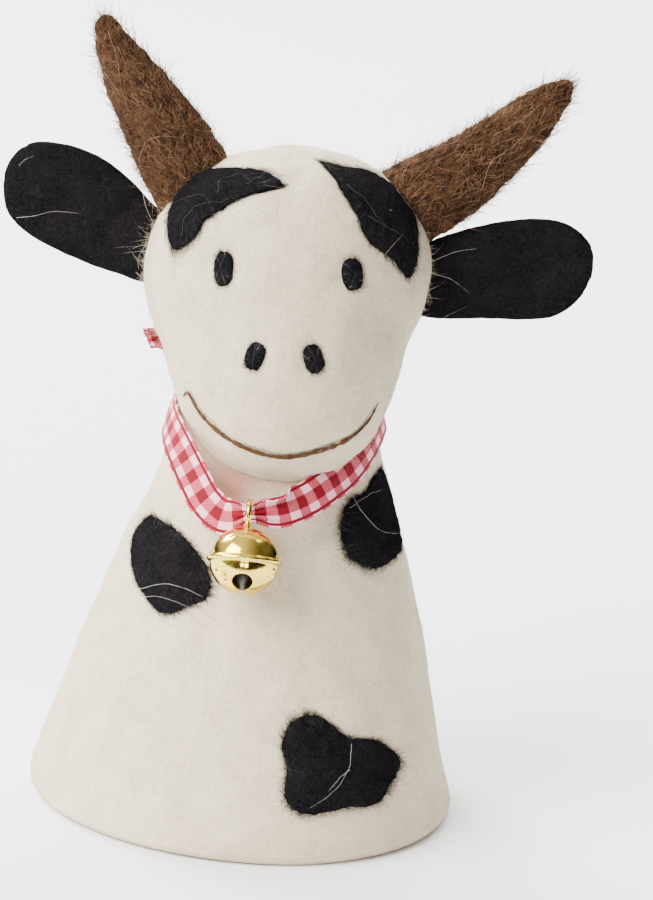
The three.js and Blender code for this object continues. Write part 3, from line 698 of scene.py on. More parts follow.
def horn_surface(rows, seed, around=64, along=72):
    """Ovals across a smooth line: half the width sideways and 0.68 of it front to back, rounded off at
    the tip like a ball, with lumps that run along the horn."""
    rows = np.array(rows)
    share = np.linspace(0, 1, along)
    line = smooth_line(rows[:, :3], share)
    tangent = unit(np.gradient(line, axis=0))
    sideways = unit(np.cross([0, 1, 0], tangent))
    deep = np.cross(tangent, sideways)
    half = read_even(rows[:, 3], share)
    for past_end in ((share - 0.93) / 0.07, (0.04 - share) / 0.04):
        half = half * np.sqrt(1 - np.clip(past_end, 0, 1) ** 2)
    angle = round_angles(around)[None, :, None]
    oval = sideways[:, None] * np.cos(angle) + HORN_FLATNESS * deep[:, None] * np.sin(angle)
    grid = line[:, None] + half[:, None, None] * oval
    rough = 0.16 * lumps(grid, 4.0, seed) + 0.10 * lumps(grid * [1, 1, 0.5], 1.6, seed + 1)
    off = grid - line[:, None]
    return line[:, None] + off * (1 + rough / np.maximum(half, 1.0)[:, None])[..., None]


for seed, (name, rows) in enumerate(HORNS.items(), 10):
    put(name + "_wool", rings(horn_surface(rows, seed)), BROWN, [name])

# %% [markdown]
# ## Flat felt pieces
# Ears are cut from sheet felt. Patches, eyes and nostrils are thin layers of black wool needled onto the
# cream wool. All are one kind of surface: an outline filled from a middle point, with a top and a bottom
# skin that meet at the rim. What it lies on decides where each place goes.

# %% Flat pieces
def pad_surface(place, middle, outline, bottom, top, around, rows, fullness, ragged, seed):
    """Rings from the middle of the top skin out to the rim and back to the middle of the bottom skin.
    The skins close as one minus the share of the reach to the power fullness, square-rooted, and the
    outline wanders by a few random waves."""
    turn = np.linspace(0, 1, around, endpoint=False)
    rim = smooth_line(np.array(outline, float), turn, closed=True)
    rng = np.random.default_rng(seed)
    waves = np.arange(5, 60, 3)[:, None]
    wander = (np.sin(2 * math.pi * waves * turn + rng.uniform(0, 6.3, waves.shape)) / np.sqrt(waves)).sum(0)
    rim = middle + (rim - middle) * (1 + ragged * wander)[:, None]
    share = np.sin(np.linspace(0, math.pi / 2, rows)) ** 0.8
    closing = np.sqrt(np.clip(1 - share**fullness, 0, 1))
    share, closing = np.concatenate([share, share[-2::-1]]), np.concatenate([closing, -closing[-2::-1]])
    where = middle + (rim - middle)[None] * share[:, None, None]
    height = (top + bottom) / 2 + (top - bottom) / 2 * closing
    return place(where[..., 0], where[..., 1], height[:, None] + 0 * turn)


EARS = {
    "ear_left": [(-19, 102), (-23.4, 104.8), (-28, 109), (-33.5, 112.4), (-39.5, 114), (-45, 113.6),
                 (-48.6, 110.4), (-49.7, 105.6), (-48.6, 100.9), (-44.6, 97.4), (-37, 94.4), (-29, 92.4),
                 (-22.6, 91.6), (-18.6, 96)],
    "ear_right": [(20, 97), (24.6, 102.4), (29.6, 104.9), (36, 107), (43, 108.2), (48.6, 107.4),
                  (52.4, 104.2), (53.3, 99.6), (51.8, 95), (48, 91.4), (43, 90.3), (35, 89.9), (27, 89.4),
                  (21, 90.5)],
}
EAR_FELT, EAR_ROOT, EAR_DEPTH, EAR_SWEEP, EAR_CUP = 3.0, 22.0, 1.5, 0.08, 0.012
EAR_MIDDLES = {name: np.mean(outline, axis=0) for name, outline in EARS.items()}


def ear_place(name):
    """Where a place of the ear goes: back along its length, and forward with the square of the distance
    from its long middle line."""
    side, middle = math.copysign(1, EARS[name][0][0]), EAR_MIDDLES[name][1]

    def place(x, z, lift):
        y = EAR_DEPTH + EAR_SWEEP * np.maximum(0, side * x - EAR_ROOT) - EAR_CUP * (z - middle) ** 2
        flat = np.stack([x, y + 0 * lift, z], -1)
        return flat + np.stack([0 * x, lift * (1 + 0.06 * lumps(flat, 6.0, 21)), 0 * x], -1)
    return place


ON_EARS = {name: ear_place(name) for name in EARS}
for seed, (name, outline) in enumerate(EARS.items(), 20):
    half, spot = EAR_FELT / 2, (ON_EARS[name], EAR_MIDDLES[name], outline)
    grid = pad_surface(*spot, -half, half, around=170, rows=22, fullness=10.0, ragged=0.004, seed=seed)
    ear = put(name + "_felt", rings(grid), BLACK, [name])

# %% [markdown]
# A patch or an eye is sunk a little into the cream wool, so no edge floats over it.

# %% Patches, eyes and nostrils
PATCH_SUNK, PATCH_STANDS = -0.35, 1.0  # the two skins under and over the cream wool
SPOT_SUNK = -0.8  # eyes and nostrils go deeper, because they lie in a hollow


def on_cone(angle, height, lift):
    """A place over the cone from degrees round, with the felt's small lumps on top."""
    flat = cone_point(np.radians(angle), height, 0.0)
    return cone_point(np.radians(angle), height, lift * (1 + 0.12 * lumps(flat, 1.8, 31)))


def on_head(angle, rise, lift):
    """A place over the head, with the felt's small lumps on top."""
    flat = head_point(angle, rise, 0.0)
    return head_point(angle, rise, lift * (1 + 0.12 * lumps(flat, 1.8, 32)))


PATCHES = {
    "patch_brow_left": (on_head, (-78, 55), [(-66, 28), (-79, 34), (-92, 40), (-97, 46), (-99, 52),
        (-91, 60), (-68, 70), (-41, 73), (-15, 70), (-29, 65.5), (-43, 60), (-52, 53), (-57, 45),
        (-58, 36)]),
    "patch_brow_right": (on_head, (68, 50), [(57, 80), (81, 73), (93, 66), (96, 58), (91, 50), (91, 44),
        (83, 36), (77, 29), (70, 25), (62, 32), (54, 39), (48, 47), (47, 57), (47, 68)]),
    "patch_chest_left": (on_cone, (-45, 46), [(-67, 51.6), (-70, 49), (-66, 46), (-56, 43), (-46, 41),
        (-34, 39.1), (-27, 40.8), (-19, 43.6), (-19, 46.2), (-29, 50), (-40, 51.9), (-55, 52.6)]),
    "patch_neck_right": (on_cone, (66, 55), [(84, 62), (70, 62.2), (56, 60.2), (43, 59.2), (37, 55.6),
        (37, 51.8), (43, 49.6), (54, 47.9), (70, 48.4), (84, 49.6), (93, 53), (93, 58.5)]),
    "patch_hem_right": (on_cone, (27, 17), [(19, 25.5), (14, 24), (12, 21), (13.5, 16.5), (13.5, 12),
        (18, 9.4), (30, 9.8), (42, 10), (47, 12.4), (52.5, 15.4), (45, 19.7), (33, 21.4), (25, 24.6)]),
}
EDGE_SEEDS = (200, 201, 210, 211, 212)  # of the fibres at each patch's rim


def on_face(at):
    """A place over the head from millimetres across and up on the plane that touches it at a spot."""
    outward = head_point(*at) - HEAD_MIDDLE
    across = unit(np.array([-outward[1], outward[0], 0]))
    rise = unit(np.cross(outward, across))

    def place(x, y, lift):
        direction = unit(outward + x[..., None] * across + y[..., None] * rise)
        return HEAD_MIDDLE + direction * (head_reach(direction) + lift)[..., None]
    return place


def skin_area(points, triangles):
    """Half of the triangles' summed area, so one skin of a thin piece, in square metres."""
    first, second, third = points[triangles].transpose(1, 0, 2)
    return np.linalg.norm(np.cross(second - first, third - first), axis=1).sum() / 4e6


for name, spot in PATCHES.items():
    grid = pad_surface(*spot, PATCH_SUNK, PATCH_STANDS, around=150, rows=15, fullness=3.0, ragged=0.014,
                       seed=len(name))
    patch = put(name + "_wool", rings(grid), BLACK, [name])
    top = skin_area(*MESHES[name + "_wool"])


def blunt_oval(half, tilt, corners=14, power=0.78):
    """Corners of an oval whose sides are filled out: cosine and sine are raised to a power under 1."""
    turn, lean = round_angles(corners), math.radians(tilt)
    circle = zip(half, (np.cos(turn), np.sin(turn)))
    x, y = (reach * np.sign(part) * np.abs(part) ** power for reach, part in circle)
    c, s = math.cos(lean), math.sin(lean)
    return np.stack([x, y], -1) @ np.array([[c, s], [-s, c]])


FACE_SPOTS = {name: (on_face(spot["at"]), (0, 0), blunt_oval(spot["half"], spot["tilt"]))
              for name, spot in EYES_AND_NOSTRILS.items()}
for seed, (name, spot) in enumerate(FACE_SPOTS.items(), 40):
    stands = EYES_AND_NOSTRILS[name]["stands"] + PATCH_SUNK
    grid = pad_surface(*spot, SPOT_SUNK, stands, around=64, rows=11, fullness=3.0, ragged=0.03, seed=seed)
    put(name + "_wool", rings(grid), BLACK, [name])

# %% [markdown]
# ## The stitched mouth
# One brown yarn is couched along the smile, with a short tick at its left end. A yarn of two plies shows
# as an oval that turns as it goes, so the ring of points here is an oval turned by the length run.

# %% Mouth
THREAD_FLATNESS, PLY_TURN = 0.75, 1.3  # turns a millimetre, in radians
THREAD_THIN = 0.76  # of the half widths in the table


def mouth_surface(around=12, along=300):
    """Ovals across the line over the head. Each is turned by the ply's twist, and the yarn's half width
    wavers a little along it."""
    line, run = even_line(head_point(mouth_rows[:, 0], mouth_rows[:, 1]), along)
    share = np.linspace(0, 1, along)
    half = THREAD_THIN * read_even(mouth_rows[:, 2], share) * (1 + 0.20 * lumps(line, 1.4, 50))
    half = half * np.sqrt(1 - np.abs(2 * share - 1) ** 24)
    out = unit(line - HEAD_MIDDLE)
    line = line + out * 0.05
    across = unit(np.cross(np.gradient(line, axis=0), out))
    angle = round_angles(around)[None]
    ply = 0.78 + 0.22 * np.abs(np.cos(angle - PLY_TURN * run[:, None]))
    reach = (half[:, None] * ply)[..., None]
    return line[:, None] + reach * (across[:, None] * np.cos(angle)[..., None]
                                    + THREAD_FLATNESS * out[:, None] * np.sin(angle)[..., None])


put("mouth_yarn", rings(mouth_surface()), THREAD, ["mouth"])

# %% [markdown]
# ## The ribbon
# Quarter-inch ribbon keeps its width when it folds. So each cross-section is drawn by a direction: small
# steps along that direction, added up, give the folded line, and its length never changes. The direction
# swings to and fro where the ribbon is gathered in the bell's ring, and it turns steadily where an edge
# curls over.

# %% Ribbon
RIBBON_WIDTH, CLOTH = 6.35, 0.32
RIBBON = [(-166, 17.2, 77.2), (-150, 16.7, 76.6), (-120, 17.4, 74.0), (-90, 18.4, 71.2), (-74, 19.6, 70.3),
          (-60, 21.2, 69.6), (-49, 22.9, 68.6), (-39, 24.5, 66.4), (-31, 25.7, 63.4), (-23, 26.9, 60.0),
          (-16, 27.7, 58.4), (-6.5, 28.2, 59.4), (6, 26.0, 60.4), (16, 23.6, 61.6), (27, 21.6, 63.4),
          (40, 20.0, 65.3), (52, 19.1, 67.6), (63, 18.6, 69.6), (75, 18.2, 71.3), (90, 17.9, 72.6),
          (120, 17.2, 74.8), (150, 16.7, 76.8), (166, 17.2, 77.4)]
RING_ROW = 11
RIBBON_SLOPE = 0.24
GATHERS, GATHER_SWING = 4, 1.74  # folds in the ring, and how far the direction swings there, in radians
GATHER_LEFT, GATHER_RIGHT = 2.4, 4.0  # half lengths of the gathered stretch, millimetres


def folded_strip(line, look, bend, width, thick, along_cloth, count=36, shear=0.0):
    """A strip of cloth along a line. bend gives the direction of the cross-section at each place across,
    and adding its cosine and sine up gives how far the cloth is across and out. The two faces lie half
    the thickness to either side, and the ring of points runs along one face and back along the other.
    shear moves a ring's points along the line by so much for each millimetre across."""
    tangent = unit(np.gradient(line, axis=0))
    wide = unit(np.cross(look, tangent))
    out = np.cross(tangent, wide)
    c = np.linspace(-0.5, 0.5, count) * width
    turn = bend(c[None])
    step = c[1] - c[0]
    mid = (turn[:, 1:] + turn[:, :-1]) / 2
    start = np.zeros((len(line), 1))
    across = np.concatenate([start, np.cumsum(np.cos(mid) * step, 1)], 1)
    lift = np.concatenate([start, np.cumsum(np.sin(mid) * step, 1)], 1)
    centre = count // 2
    across -= across[:, centre:centre + 1]
    lift -= lift[:, centre:centre + 1]
    faces, cloth = [], []
    for sign, order in ((1, slice(None)), (-1, slice(None, None, -1))):
        a = (across - sign * np.sin(turn) * thick / 2)[:, order, None]
        b = (lift + sign * np.cos(turn) * thick / 2)[:, order, None]
        slide = (shear * c[order])[..., None] + 0 * a
        faces.append(line[:, None] + a * wide[:, None] + b * out[:, None] + slide * tangent[:, None])
        cloth.append(np.stack(np.broadcast_arrays(c[order][None], along_cloth[:, None]), -1))
    return np.concatenate(faces, 1), np.concatenate(cloth, 1)


def capped(grid, cloth):
    """The grid with a middle point added before its first ring and after its last."""
    ends = [np.broadcast_to(grid[i].mean(0), grid[i].shape)[None] for i in (0, -1)]
    return np.concatenate([ends[0], grid, ends[1]]), np.concatenate([cloth[:1], cloth, cloth[-1:]])


def ribbon_points():
    """The ribbon's middle line in the maker's frame, from degrees round, distance out and height."""
    angle, out, height = np.array(RIBBON).T
    return round_cone(out, np.radians(angle), height)


RING_MIDDLE = smooth_line(ribbon_points(), RING_ROW / (len(RIBBON) - 1))


def ribbon_surface(steps=300):
    """The folded strip round the neck: gathered in the ring, opening faster on its left, with the upper
    edge curled over just right of the ring and tucked in under the jaw after that."""
    line, run = even_line(ribbon_points(), steps)
    off = run - run[np.linalg.norm(line - RING_MIDDLE, axis=1).argmin()]
    gather = np.exp(-((off / np.where(off < 0, GATHER_LEFT, GATHER_RIGHT)) ** 2))[:, None]
    curl = (smoothstep(off, 1.5, 4.0) * (1 - smoothstep(off, 5.5, 10.0)))[:, None]
    tuck = (smoothstep(off, 6.0, 12.0) * (1 - smoothstep(off, 30.0, 40.0)))[:, None]
    ripple = 0.16 * np.sin(run / 5.3 + 0.4 * np.sin(run / 3.1))[:, None]

    def bend(c):
        pleats = GATHER_SWING * gather * np.cos(2 * math.pi * GATHERS * c / RIBBON_WIDTH + 0.7)
        over = 1.9 * curl * np.maximum(c - 1.5, 0) - 0.30 * tuck * np.maximum(c, 0)
        return pleats + over + ripple * c / RIBBON_WIDTH + 0 * run[:, None]

    look = unit(np.stack([line[:, 0], line[:, 1], RIBBON_SLOPE * np.hypot(line[:, 0], line[:, 1])], -1))
    grid, cloth = folded_strip(line, look, bend, RIBBON_WIDTH, CLOTH, run)
    return capped(grid, cloth), run[-1]


def put_ribbon(name, strip, length, stands_for, held, rests_on, width=RIBBON_WIDTH, loop=False):
    """Puts a strip of ribbon in, and prints its length. A sheet's declared width starts at 10 mm, so a
    ribbon gives its real area beside it.
    """
    grid, cloth = strip
    piece = put(name, rings(grid, loop, cloth), GINGHAM, [stands_for])
    print("ribbon in", name, round(length, 1), "mm")


put_ribbon("ribbon_band", *ribbon_surface(), "ribbon", "gathered", "body_felt")

# %% [markdown]
# The knot sits at the nape. A short turn of ribbon passes over the crossing, with soft folds along it,
# and a core of bunched cloth fills it. Two free ends leave it.

# %% Knot and free ends
KNOT = dict(middle=(0, 18.8, 77.2), half=(3.6, 2.3, 3.4))
TAILS = {
    "ribbon_tail_left": [(-2.6, 19.4, 77.5), (-5, 19.9, 77.8), (-9, 20.6, 78.2), (-16, 19.8, 77.9),
                         (-23.5, 16.9, 77.4)],
    "ribbon_tail_right": [(2.4, 19.5, 76.8), (5, 20.2, 76.3), (8.2, 21.6, 75.2), (13, 23, 70.6),
                          (16.4, 24.4, 63.8)],
}


def knot_core(around=56, rows=30):
    """A pillow: a ball whose points are pushed out to a squarer form, with folds that run round it."""
    rise, angle = np.linspace(-math.pi / 2, math.pi / 2, rows)[:, None], round_angles(around)[None]
    flat = np.cos(rise)
    ball = np.stack([np.sin(rise) + 0 * angle, flat * np.cos(angle), flat * np.sin(angle)], -1)
    square = (np.abs(ball) ** 3).sum(-1, keepdims=True) ** (-1 / 3)
    fold = 1 + 0.05 * np.sin(7 * angle + 2 * rise)[..., None]
    grid = np.array(KNOT["middle"]) + ball * square * fold * np.array(KNOT["half"]) * [1.05, 0.80, 0.84]
    return rings(grid, cloth=np.stack(np.broadcast_arrays(3.6 * ball[..., 0], 3.0 * angle), -1))


def knot_turn(steps=80):
    """A closed loop of folded ribbon over the core, in the upright plane through the nape. It is worked
    out one step over at both ends, so that the directions there fit."""
    angle = round_angles(steps)
    angle = np.concatenate([angle[-1:], angle, angle[:1]])
    inset, (_, deep, high) = 0.35, KNOT["half"]
    half = np.array([inset, deep - inset, high - inset])
    line = np.array(KNOT["middle"]) + half * np.stack([np.sin(angle), np.cos(angle), np.sin(angle)], -1)

    def bend(c):
        return 0.85 * np.cos(2 * math.pi * 2.5 * c / RIBBON_WIDTH + 0.5 * np.sin(angle)[:, None]) - 0.16 * c

    run = np.arange(-1, steps + 1) * 18.0 / steps
    grid, cloth = folded_strip(line, unit(line - KNOT["middle"]), bend, KNOT_WIDTH, CLOTH, run)
    return grid[1:-1], cloth[1:-1]


KNOT_WIDTH, KNOT_TURN = RIBBON_WIDTH * 0.8, 17.5  # the turn's squeezed width, and the ribbon in it
put("knot_core", knot_core(), GINGHAM)
put_ribbon("knot_turn", knot_turn(), KNOT_TURN, "ribbon_knot", "folded", "knot_core", KNOT_WIDTH, loop=True)


def tail_surface(rows, phase, steps=70):
    """A free end: pinched in the knot, then opening flat with a lazy wave, and creased and cut at a slant
    at its tip."""
    line, run = even_line(rows, steps)
    pinch = np.exp(-((run / 3.0) ** 2))[:, None]
    crease = smoothstep(run, run[-1] - 7.0, run[-1] - 1.0)[:, None]

    def bend(c):
        return (1.2 * pinch * np.cos(2 * math.pi * 3 * c / RIBBON_WIDTH)
                + 0.10 * (1 - pinch) * c * np.sin(run / 4.0 + phase)[:, None]
                + 1.35 * crease * np.sin(2 * math.pi * 2.4 * c / RIBBON_WIDTH + phase + 0.5 * run[:, None]))

    look = np.tile([0.0, 1.0, 0.0], (steps, 1))
    slant = 0.28 * smoothstep(run, run[-1] - 6.0, run[-1])[:, None]
    grid, cloth = folded_strip(line, look, bend, RIBBON_WIDTH, CLOTH, run + phase, shear=slant)
    return capped(grid, cloth), run[-1]


for phase, (name, rows) in enumerate(TAILS.items(), 1):
    put_ribbon(name + "_cloth", *tail_surface(rows, float(phase)), name, "hung", "knot_core")

# %% [markdown]
# ## The bell
# A jingle bell is two pressed cups crimped together at a rim, with round holes joined by a slot below
# and a pellet inside. The outside and the inside are turned profiles. The holes and the slot are cut with
# Blender's exact Boolean, because a cut edge is what the real press makes.

# %% Bell shape
BELL = dict(radius=5.9, up=5.7, down=5.9, sheet=0.5, rim=6.4, rim_half=0.45, slot=1.1, hole=1.75,
            hole_angle=44.0, lean=22.0, pellet=2.2, wire=0.9, ring=2.1)
RIM_DROP = 7.95  # from the ring's middle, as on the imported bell; the wire's foot is let into the crown
RIM_MIDDLE = np.array([0, 0, -RIM_DROP])
UPPER_ROWS = 40
X_WAY = np.array([1.0, 0, 0])
DOTS = [(-35, -29), (-38.5, -38), (53.5, -30), (66.5, -25), (-56, -20), (63, -10)]  # degrees round and up


def hang(points):
    """From the bell's own frame, with the ring's middle at zero, to the maker's frame: leaned and moved."""
    lean = math.radians(-BELL["lean"])
    turn = np.array([[1, 0, 0], [0, math.cos(lean), -math.sin(lean)], [0, math.sin(lean), math.cos(lean)]])
    return RING_MIDDLE + points @ turn.T


def cup_ovals(rise, sheet):
    """Reach and height of two half ovals that meet at the rim, so much sheet further in."""
    tall = np.where(rise > 0, BELL["up"], BELL["down"]) - sheet
    return (BELL["radius"] - sheet) * np.cos(rise), tall * np.sin(rise)


def bell_cups(around=144):
    """Outside: two half ovals with a rounded rim between them, and small stamped dots. Inside: the same
    ovals one sheet further in. Both are turned about the bell's axis."""
    angle = round_angles(around)[None]
    lip = np.linspace(math.pi / 2, -math.pi / 2, 12)
    rim = BELL["rim"] - BELL["rim_half"] + BELL["rim_half"] * np.cos(lip), BELL["rim_half"] * np.sin(lip)
    rise = np.radians(np.concatenate([np.linspace(90, 6, UPPER_ROWS), np.linspace(-6, -90, 50)]))
    reach, height = (np.concatenate([oval[:UPPER_ROWS], lip_part, oval[UPPER_ROWS:]])[:, None]
                     for oval, lip_part in zip(cup_ovals(rise, 0.0), rim))
    outer = turned(reach, angle, height)
    for dot in DOTS:
        near = np.linalg.norm(outer - BELL["radius"] * way(*dot), axis=-1)
        outer = outer * (1 - 0.05 * np.exp(-((near / 0.40) ** 4)))[..., None]
    reach, height = cup_ovals(np.radians(np.linspace(90, -90, 36))[:, None], BELL["sheet"])
    inner = turned(reach, angle[:, ::2], height)
    outside, inside = (rings(hang(RIM_MIDDLE + skin))[:2] for skin in (outer, inner))
    return join([outside, (inside[0], inside[1][:, ::-1])])


def rod(start, end, ring):
    """A closed rod between two points, with the same ring of corners about each."""
    return rings(np.stack([start + 0 * ring, start + ring, end + ring, end + 0 * ring]))[:2]


def bell_cutters():
    """The two round holes, as rods that point down and out, and the slot between them, as a box."""
    dip, angle = math.radians(BELL["hole_angle"]), round_angles(64)[:, None]
    for front in (1, -1):
        outward = np.array([0, -front * math.cos(dip), -math.sin(dip)])
        start, end = hang(RIM_MIDDLE + 3.5 * outward), hang(RIM_MIDDLE + 9.0 * outward)
        side = unit(np.cross(unit(end - start), X_WAY))
        other = np.cross(unit(end - start), side)
        yield rod(start, end, BELL["hole"] * (np.cos(angle) * side + np.sin(angle) * other))
    corners = np.array([(1, 1, 0), (-1, 1, 0), (-1, -1, 0), (1, -1, 0)])
    half = [BELL["slot"] / 2, BELL["radius"] * math.cos(dip), 0]
    points, faces = rod(RIM_MIDDLE - 7.5 * UP, RIM_MIDDLE - BELL["down"] * math.sin(dip) * UP, corners * half)
    yield hang(points), faces


def cut_bell(shell):
    """Cuts the holes and the slot out of the shell, one after another."""
    for points, faces in bell_cutters():
        mesh = bpy.data.meshes.new("cutter")
        mesh.from_pydata(((points + SHIFT) / 1000).tolist(), [], faces.tolist())
        cutter = bpy.data.objects.new("cutter", mesh)
        bpy.context.scene.collection.objects.link(cutter)
        cut = shell.modifiers.new("cut", "BOOLEAN")
        cut.operation, cut.solver, cut.object = "DIFFERENCE", "EXACT", cutter
        bpy.context.view_layer.update()
        done = bpy.data.meshes.new_from_object(shell.evaluated_get(bpy.context.evaluated_depsgraph_get()))
        shell.modifiers.clear()
        shell.data = done
        bpy.data.objects.remove(cutter)
    shell.data.name = shell.name


bell = put("bell_cups", bell_cups(), BRASS, ["bell_shell"], body="bell")
cut_bell(bell)
print("bell after the cuts:", len(bell.data.polygons), "faces")

# %% [markdown]
# The bell hangs by a wire loop that the ribbon passes through. The pellet lies at the bottom.

# %% Ring and pellet
def loop_wire(around=24, along=96):
    """A ring: a circle in the plane that the ribbon passes through, with a round wire about it."""
    angle, small = round_angles(along)[:, None, None], round_angles(around)[None, :, None]
    out = np.concatenate([0 * angle, np.sin(angle), np.cos(angle)], -1)
    reach = BELL["ring"] + BELL["wire"] / 2 * np.cos(small)
    return hang(out * reach + X_WAY * BELL["wire"] / 2 * np.sin(small))


def ball(middle, radius, around=48, rows=30):
    """A ball with a few small dents."""
    rise = np.linspace(-math.pi / 2, math.pi / 2, rows)[:, None]
    unit_ball = turned(np.cos(rise), round_angles(around)[None], np.sin(rise)) * [1, -1, 1]
    return middle + unit_ball * (radius - 0.05 * np.abs(lumps(unit_ball, 0.9, 60)))[..., None]


PELLET_DROP = RIM_DROP + BELL["down"] - BELL["sheet"] - BELL["pellet"] - GAP
put("bell_loop", rings(loop_wire(), loop=True), BRASS, ["bell_ring"], body="bell")
put("bell_ball", rings(ball(hang(-PELLET_DROP * UP), BELL["pellet"])), STEEL, ["bell_pellet"], body="bell")

# %% [markdown]
# ## Fibres that stand off the wool
# Felt is never quite bare: short fibres stand off it and soften every outline. A fibre is a bent line
# with a thin three-sided tube round it. Thousands are worked out at once: the roots are random places on
# a piece's own mesh, and each fibre leaves along the surface's outward direction, turned aside and bent.

# %% Fibre helpers
def scatter(points, triangles, count, rng, keep):
    """Random places on a surface and its outward direction there. Larger triangles get more places, and
    keep says how many of them a place may have."""
    corners = points[triangles]
    normal = np.cross(corners[:, 1] - corners[:, 0], corners[:, 2] - corners[:, 0])
    area = np.linalg.norm(normal, axis=1) * keep(corners.mean(1))
    pick = rng.choice(len(triangles), count, p=area / area.sum())
    a, b = rng.random((2, count, 1))
    a, b = np.where(a + b > 1, 1 - a, a), np.where(a + b > 1, 1 - b, b)
    corner = corners[pick]
    place = corner[:, 0] * (1 - a - b) + corner[:, 1] * a + corner[:, 2] * b
    return place, unit(normal[pick])


def standing(place, outward, length, lie, curl, rng, steps=3):
    """Bent lines: at share s of its length a fibre has gone s along its start direction, which leans
    over by lie, and s squared times curl along a random one."""
    aside = rng.normal(size=place.shape)
    aside = unit(aside - (aside * outward).sum(-1, keepdims=True) * outward)
    start = outward * (1 - lie)[:, None] + aside * lie[:, None]
    bend = rng.normal(size=place.shape) * curl
    s = np.linspace(0, 1, steps)[None, :, None]
    curved = s * start[:, None] + s**2 * bend[:, None]
    return place[:, None] - 0.1 * outward[:, None] + length[:, None, None] * curved


def tubes(lines, radius, rng):
    """Three-sided tapered tubes round many lines at once, each closed at its root and ending in a point.
    Every tube uses the same pattern of triangles, shifted by its own first corner. On the map each tube
    gets a cell of its own."""
    count, steps = lines.shape[:2]
    along = unit(np.gradient(lines, axis=1))
    side = unit(np.cross(along, rng.normal(size=(count, 1, 3))))
    other = np.cross(along, side)
    angle = np.array([0, 2, 4]) * math.pi / 3
    taper = (radius[:, None] * np.linspace(1, 0.35, steps))[..., None, None]
    spread = side[:, :, None] * np.cos(angle)[:, None] + other[:, :, None] * np.sin(angle)[:, None]
    body = lines[:, :, None] + taper * spread
    root, tip = (np.repeat(lines[:, i][:, None, None], 3, 2) for i in (0, -1))
    used, pattern = np.unique(ring_triangles(steps + 1, 3), return_inverse=True)
    points = np.concatenate([root, body[:, :-1], tip], 1).reshape(count, -1, 3)[:, used]
    pattern = outward_first(points[0] - lines[0, 0], pattern.reshape(-1, 3))
    faces = pattern[None] + (np.arange(count) * len(used))[:, None, None]
    cell = math.ceil(math.sqrt(count))
    row, column = np.divmod(np.arange(count), cell)
    inside = np.stack(np.meshgrid(np.array([0.1, 0.5, 0.9]), np.linspace(0.05, 0.95, steps + 1)), -1)
    cloth = (np.stack([column, row], -1)[:, None] + inside.reshape(-1, 2)[used][None]) / cell
    return points.reshape(-1, 3), faces.reshape(-1, 3), cloth.reshape(-1, 2)


def fuzz(name, lines, radius, finish, rng, thinnest=0.6):
    """One object of many fibres, whose thickness varies from a share of the radius up to 1.2 of it."""
    vary = rng.uniform(thinnest, 1.2, len(lines)) if thinnest < 1 else np.ones(len(lines))
    return put(name, tubes(lines, radius * vary, rng), finish, cloth_name="OFBake")


# %% [markdown]
# ## Fuzz on the cream wool
# Most fibres lie nearly flat and are very short. The cone's and the head's outside get them, but not the
# hollow, the hem's underside or the space round the bell.

# %% Cream fuzz
FUZZ_FROM, FUZZ_TO = 1.5, 66.0  # heights on the cone, above the hem's underside and up to the ribbon


def clear_of_bell(middles, reach=9.5):
    """1 where a place is far enough from the bell."""
    return np.linalg.norm(middles - hang(RIM_MIDDLE), axis=1) > reach


def cone_outside(middles):
    """1 on the cone's outside below the ribbon and off the hem's underside."""
    beside = np.hypot(middles[:, 0] - cone_lean(middles[:, 2]), middles[:, 1])
    outside = beside > read_table(CONE, np.clip(middles[:, 2], 0, CONE_TOP)) - 1.0
    between = (middles[:, 2] > FUZZ_FROM) * (middles[:, 2] < FUZZ_TO)
    return outside * between * clear_of_bell(middles) * bare(middles)


def head_outside(middles):
    """1 on the head's outside."""
    direction = unit(middles - HEAD_MIDDLE)
    return (np.linalg.norm(middles - HEAD_MIDDLE, axis=1) > head_reach(direction) - 1.2) * bare(middles)


patch_corners = np.concatenate([MESHES[name + "_wool"][0] for name in PATCHES])
under_patches = KDTree(len(patch_corners))
for number, corner in enumerate(patch_corners):
    under_patches.insert(corner, number)
under_patches.balance()


def bare(middles):
    """1 where no patch lies, so that no cream fibre comes up through the black wool."""
    return np.array([under_patches.find(middle)[2] > 0.7 for middle in middles], float)


def short_fuzz(name, piece, count, finish, seed, keep, longest, radius, lie=(0.45, 0.85), curl=0.35, steps=3):
    """Short fibres all over a piece. Lengths follow a curve with many short and a few long ones."""
    rng = np.random.default_rng(seed)
    place, outward = scatter(*MESHES[piece], count, rng, keep)
    length = longest * (0.25 + 0.75 * rng.random(count) ** 3)
    lines = standing(place, outward, length, rng.uniform(*lie, count), curl, rng, steps)
    fuzz(name, lines, radius, finish, rng)


short_fuzz("fuzz_cone", "body_felt", 9500, CREAM, 101, cone_outside, longest=2.0, radius=0.028)
short_fuzz("fuzz_head", "head_wool", 9500, CREAM, 102, head_outside, longest=2.0, radius=0.028,
           lie=(0.25, 0.85))
short_fuzz("fuzz_head_long", "head_wool", 1000, CREAM, 103, head_outside, longest=4.0, radius=0.018,
           lie=(0.3, 0.9), curl=0.7, steps=5)
ROOTS = {"left": (-23.0, -0.5, 98.5), "right": (22.6, -0.5, 96.0)}  # where the ears meet the head


def near_root(side, reach=7.5):
    """More the nearer a place on the head is to an ear's root."""
    def keep(middles):
        off = np.linalg.norm((middles - ROOTS[side]) * [1, 1, 0.6], axis=1)
        return head_outside(middles) * np.exp(-((off / reach) ** 2))
    return keep


for seed, side in enumerate(ROOTS, 104):
    short_fuzz("fuzz_root_" + side, "head_wool", 260, CREAM, seed, near_root(side), longest=2.8, radius=0.018,
               lie=(0.5, 0.95), curl=0.9, steps=6)

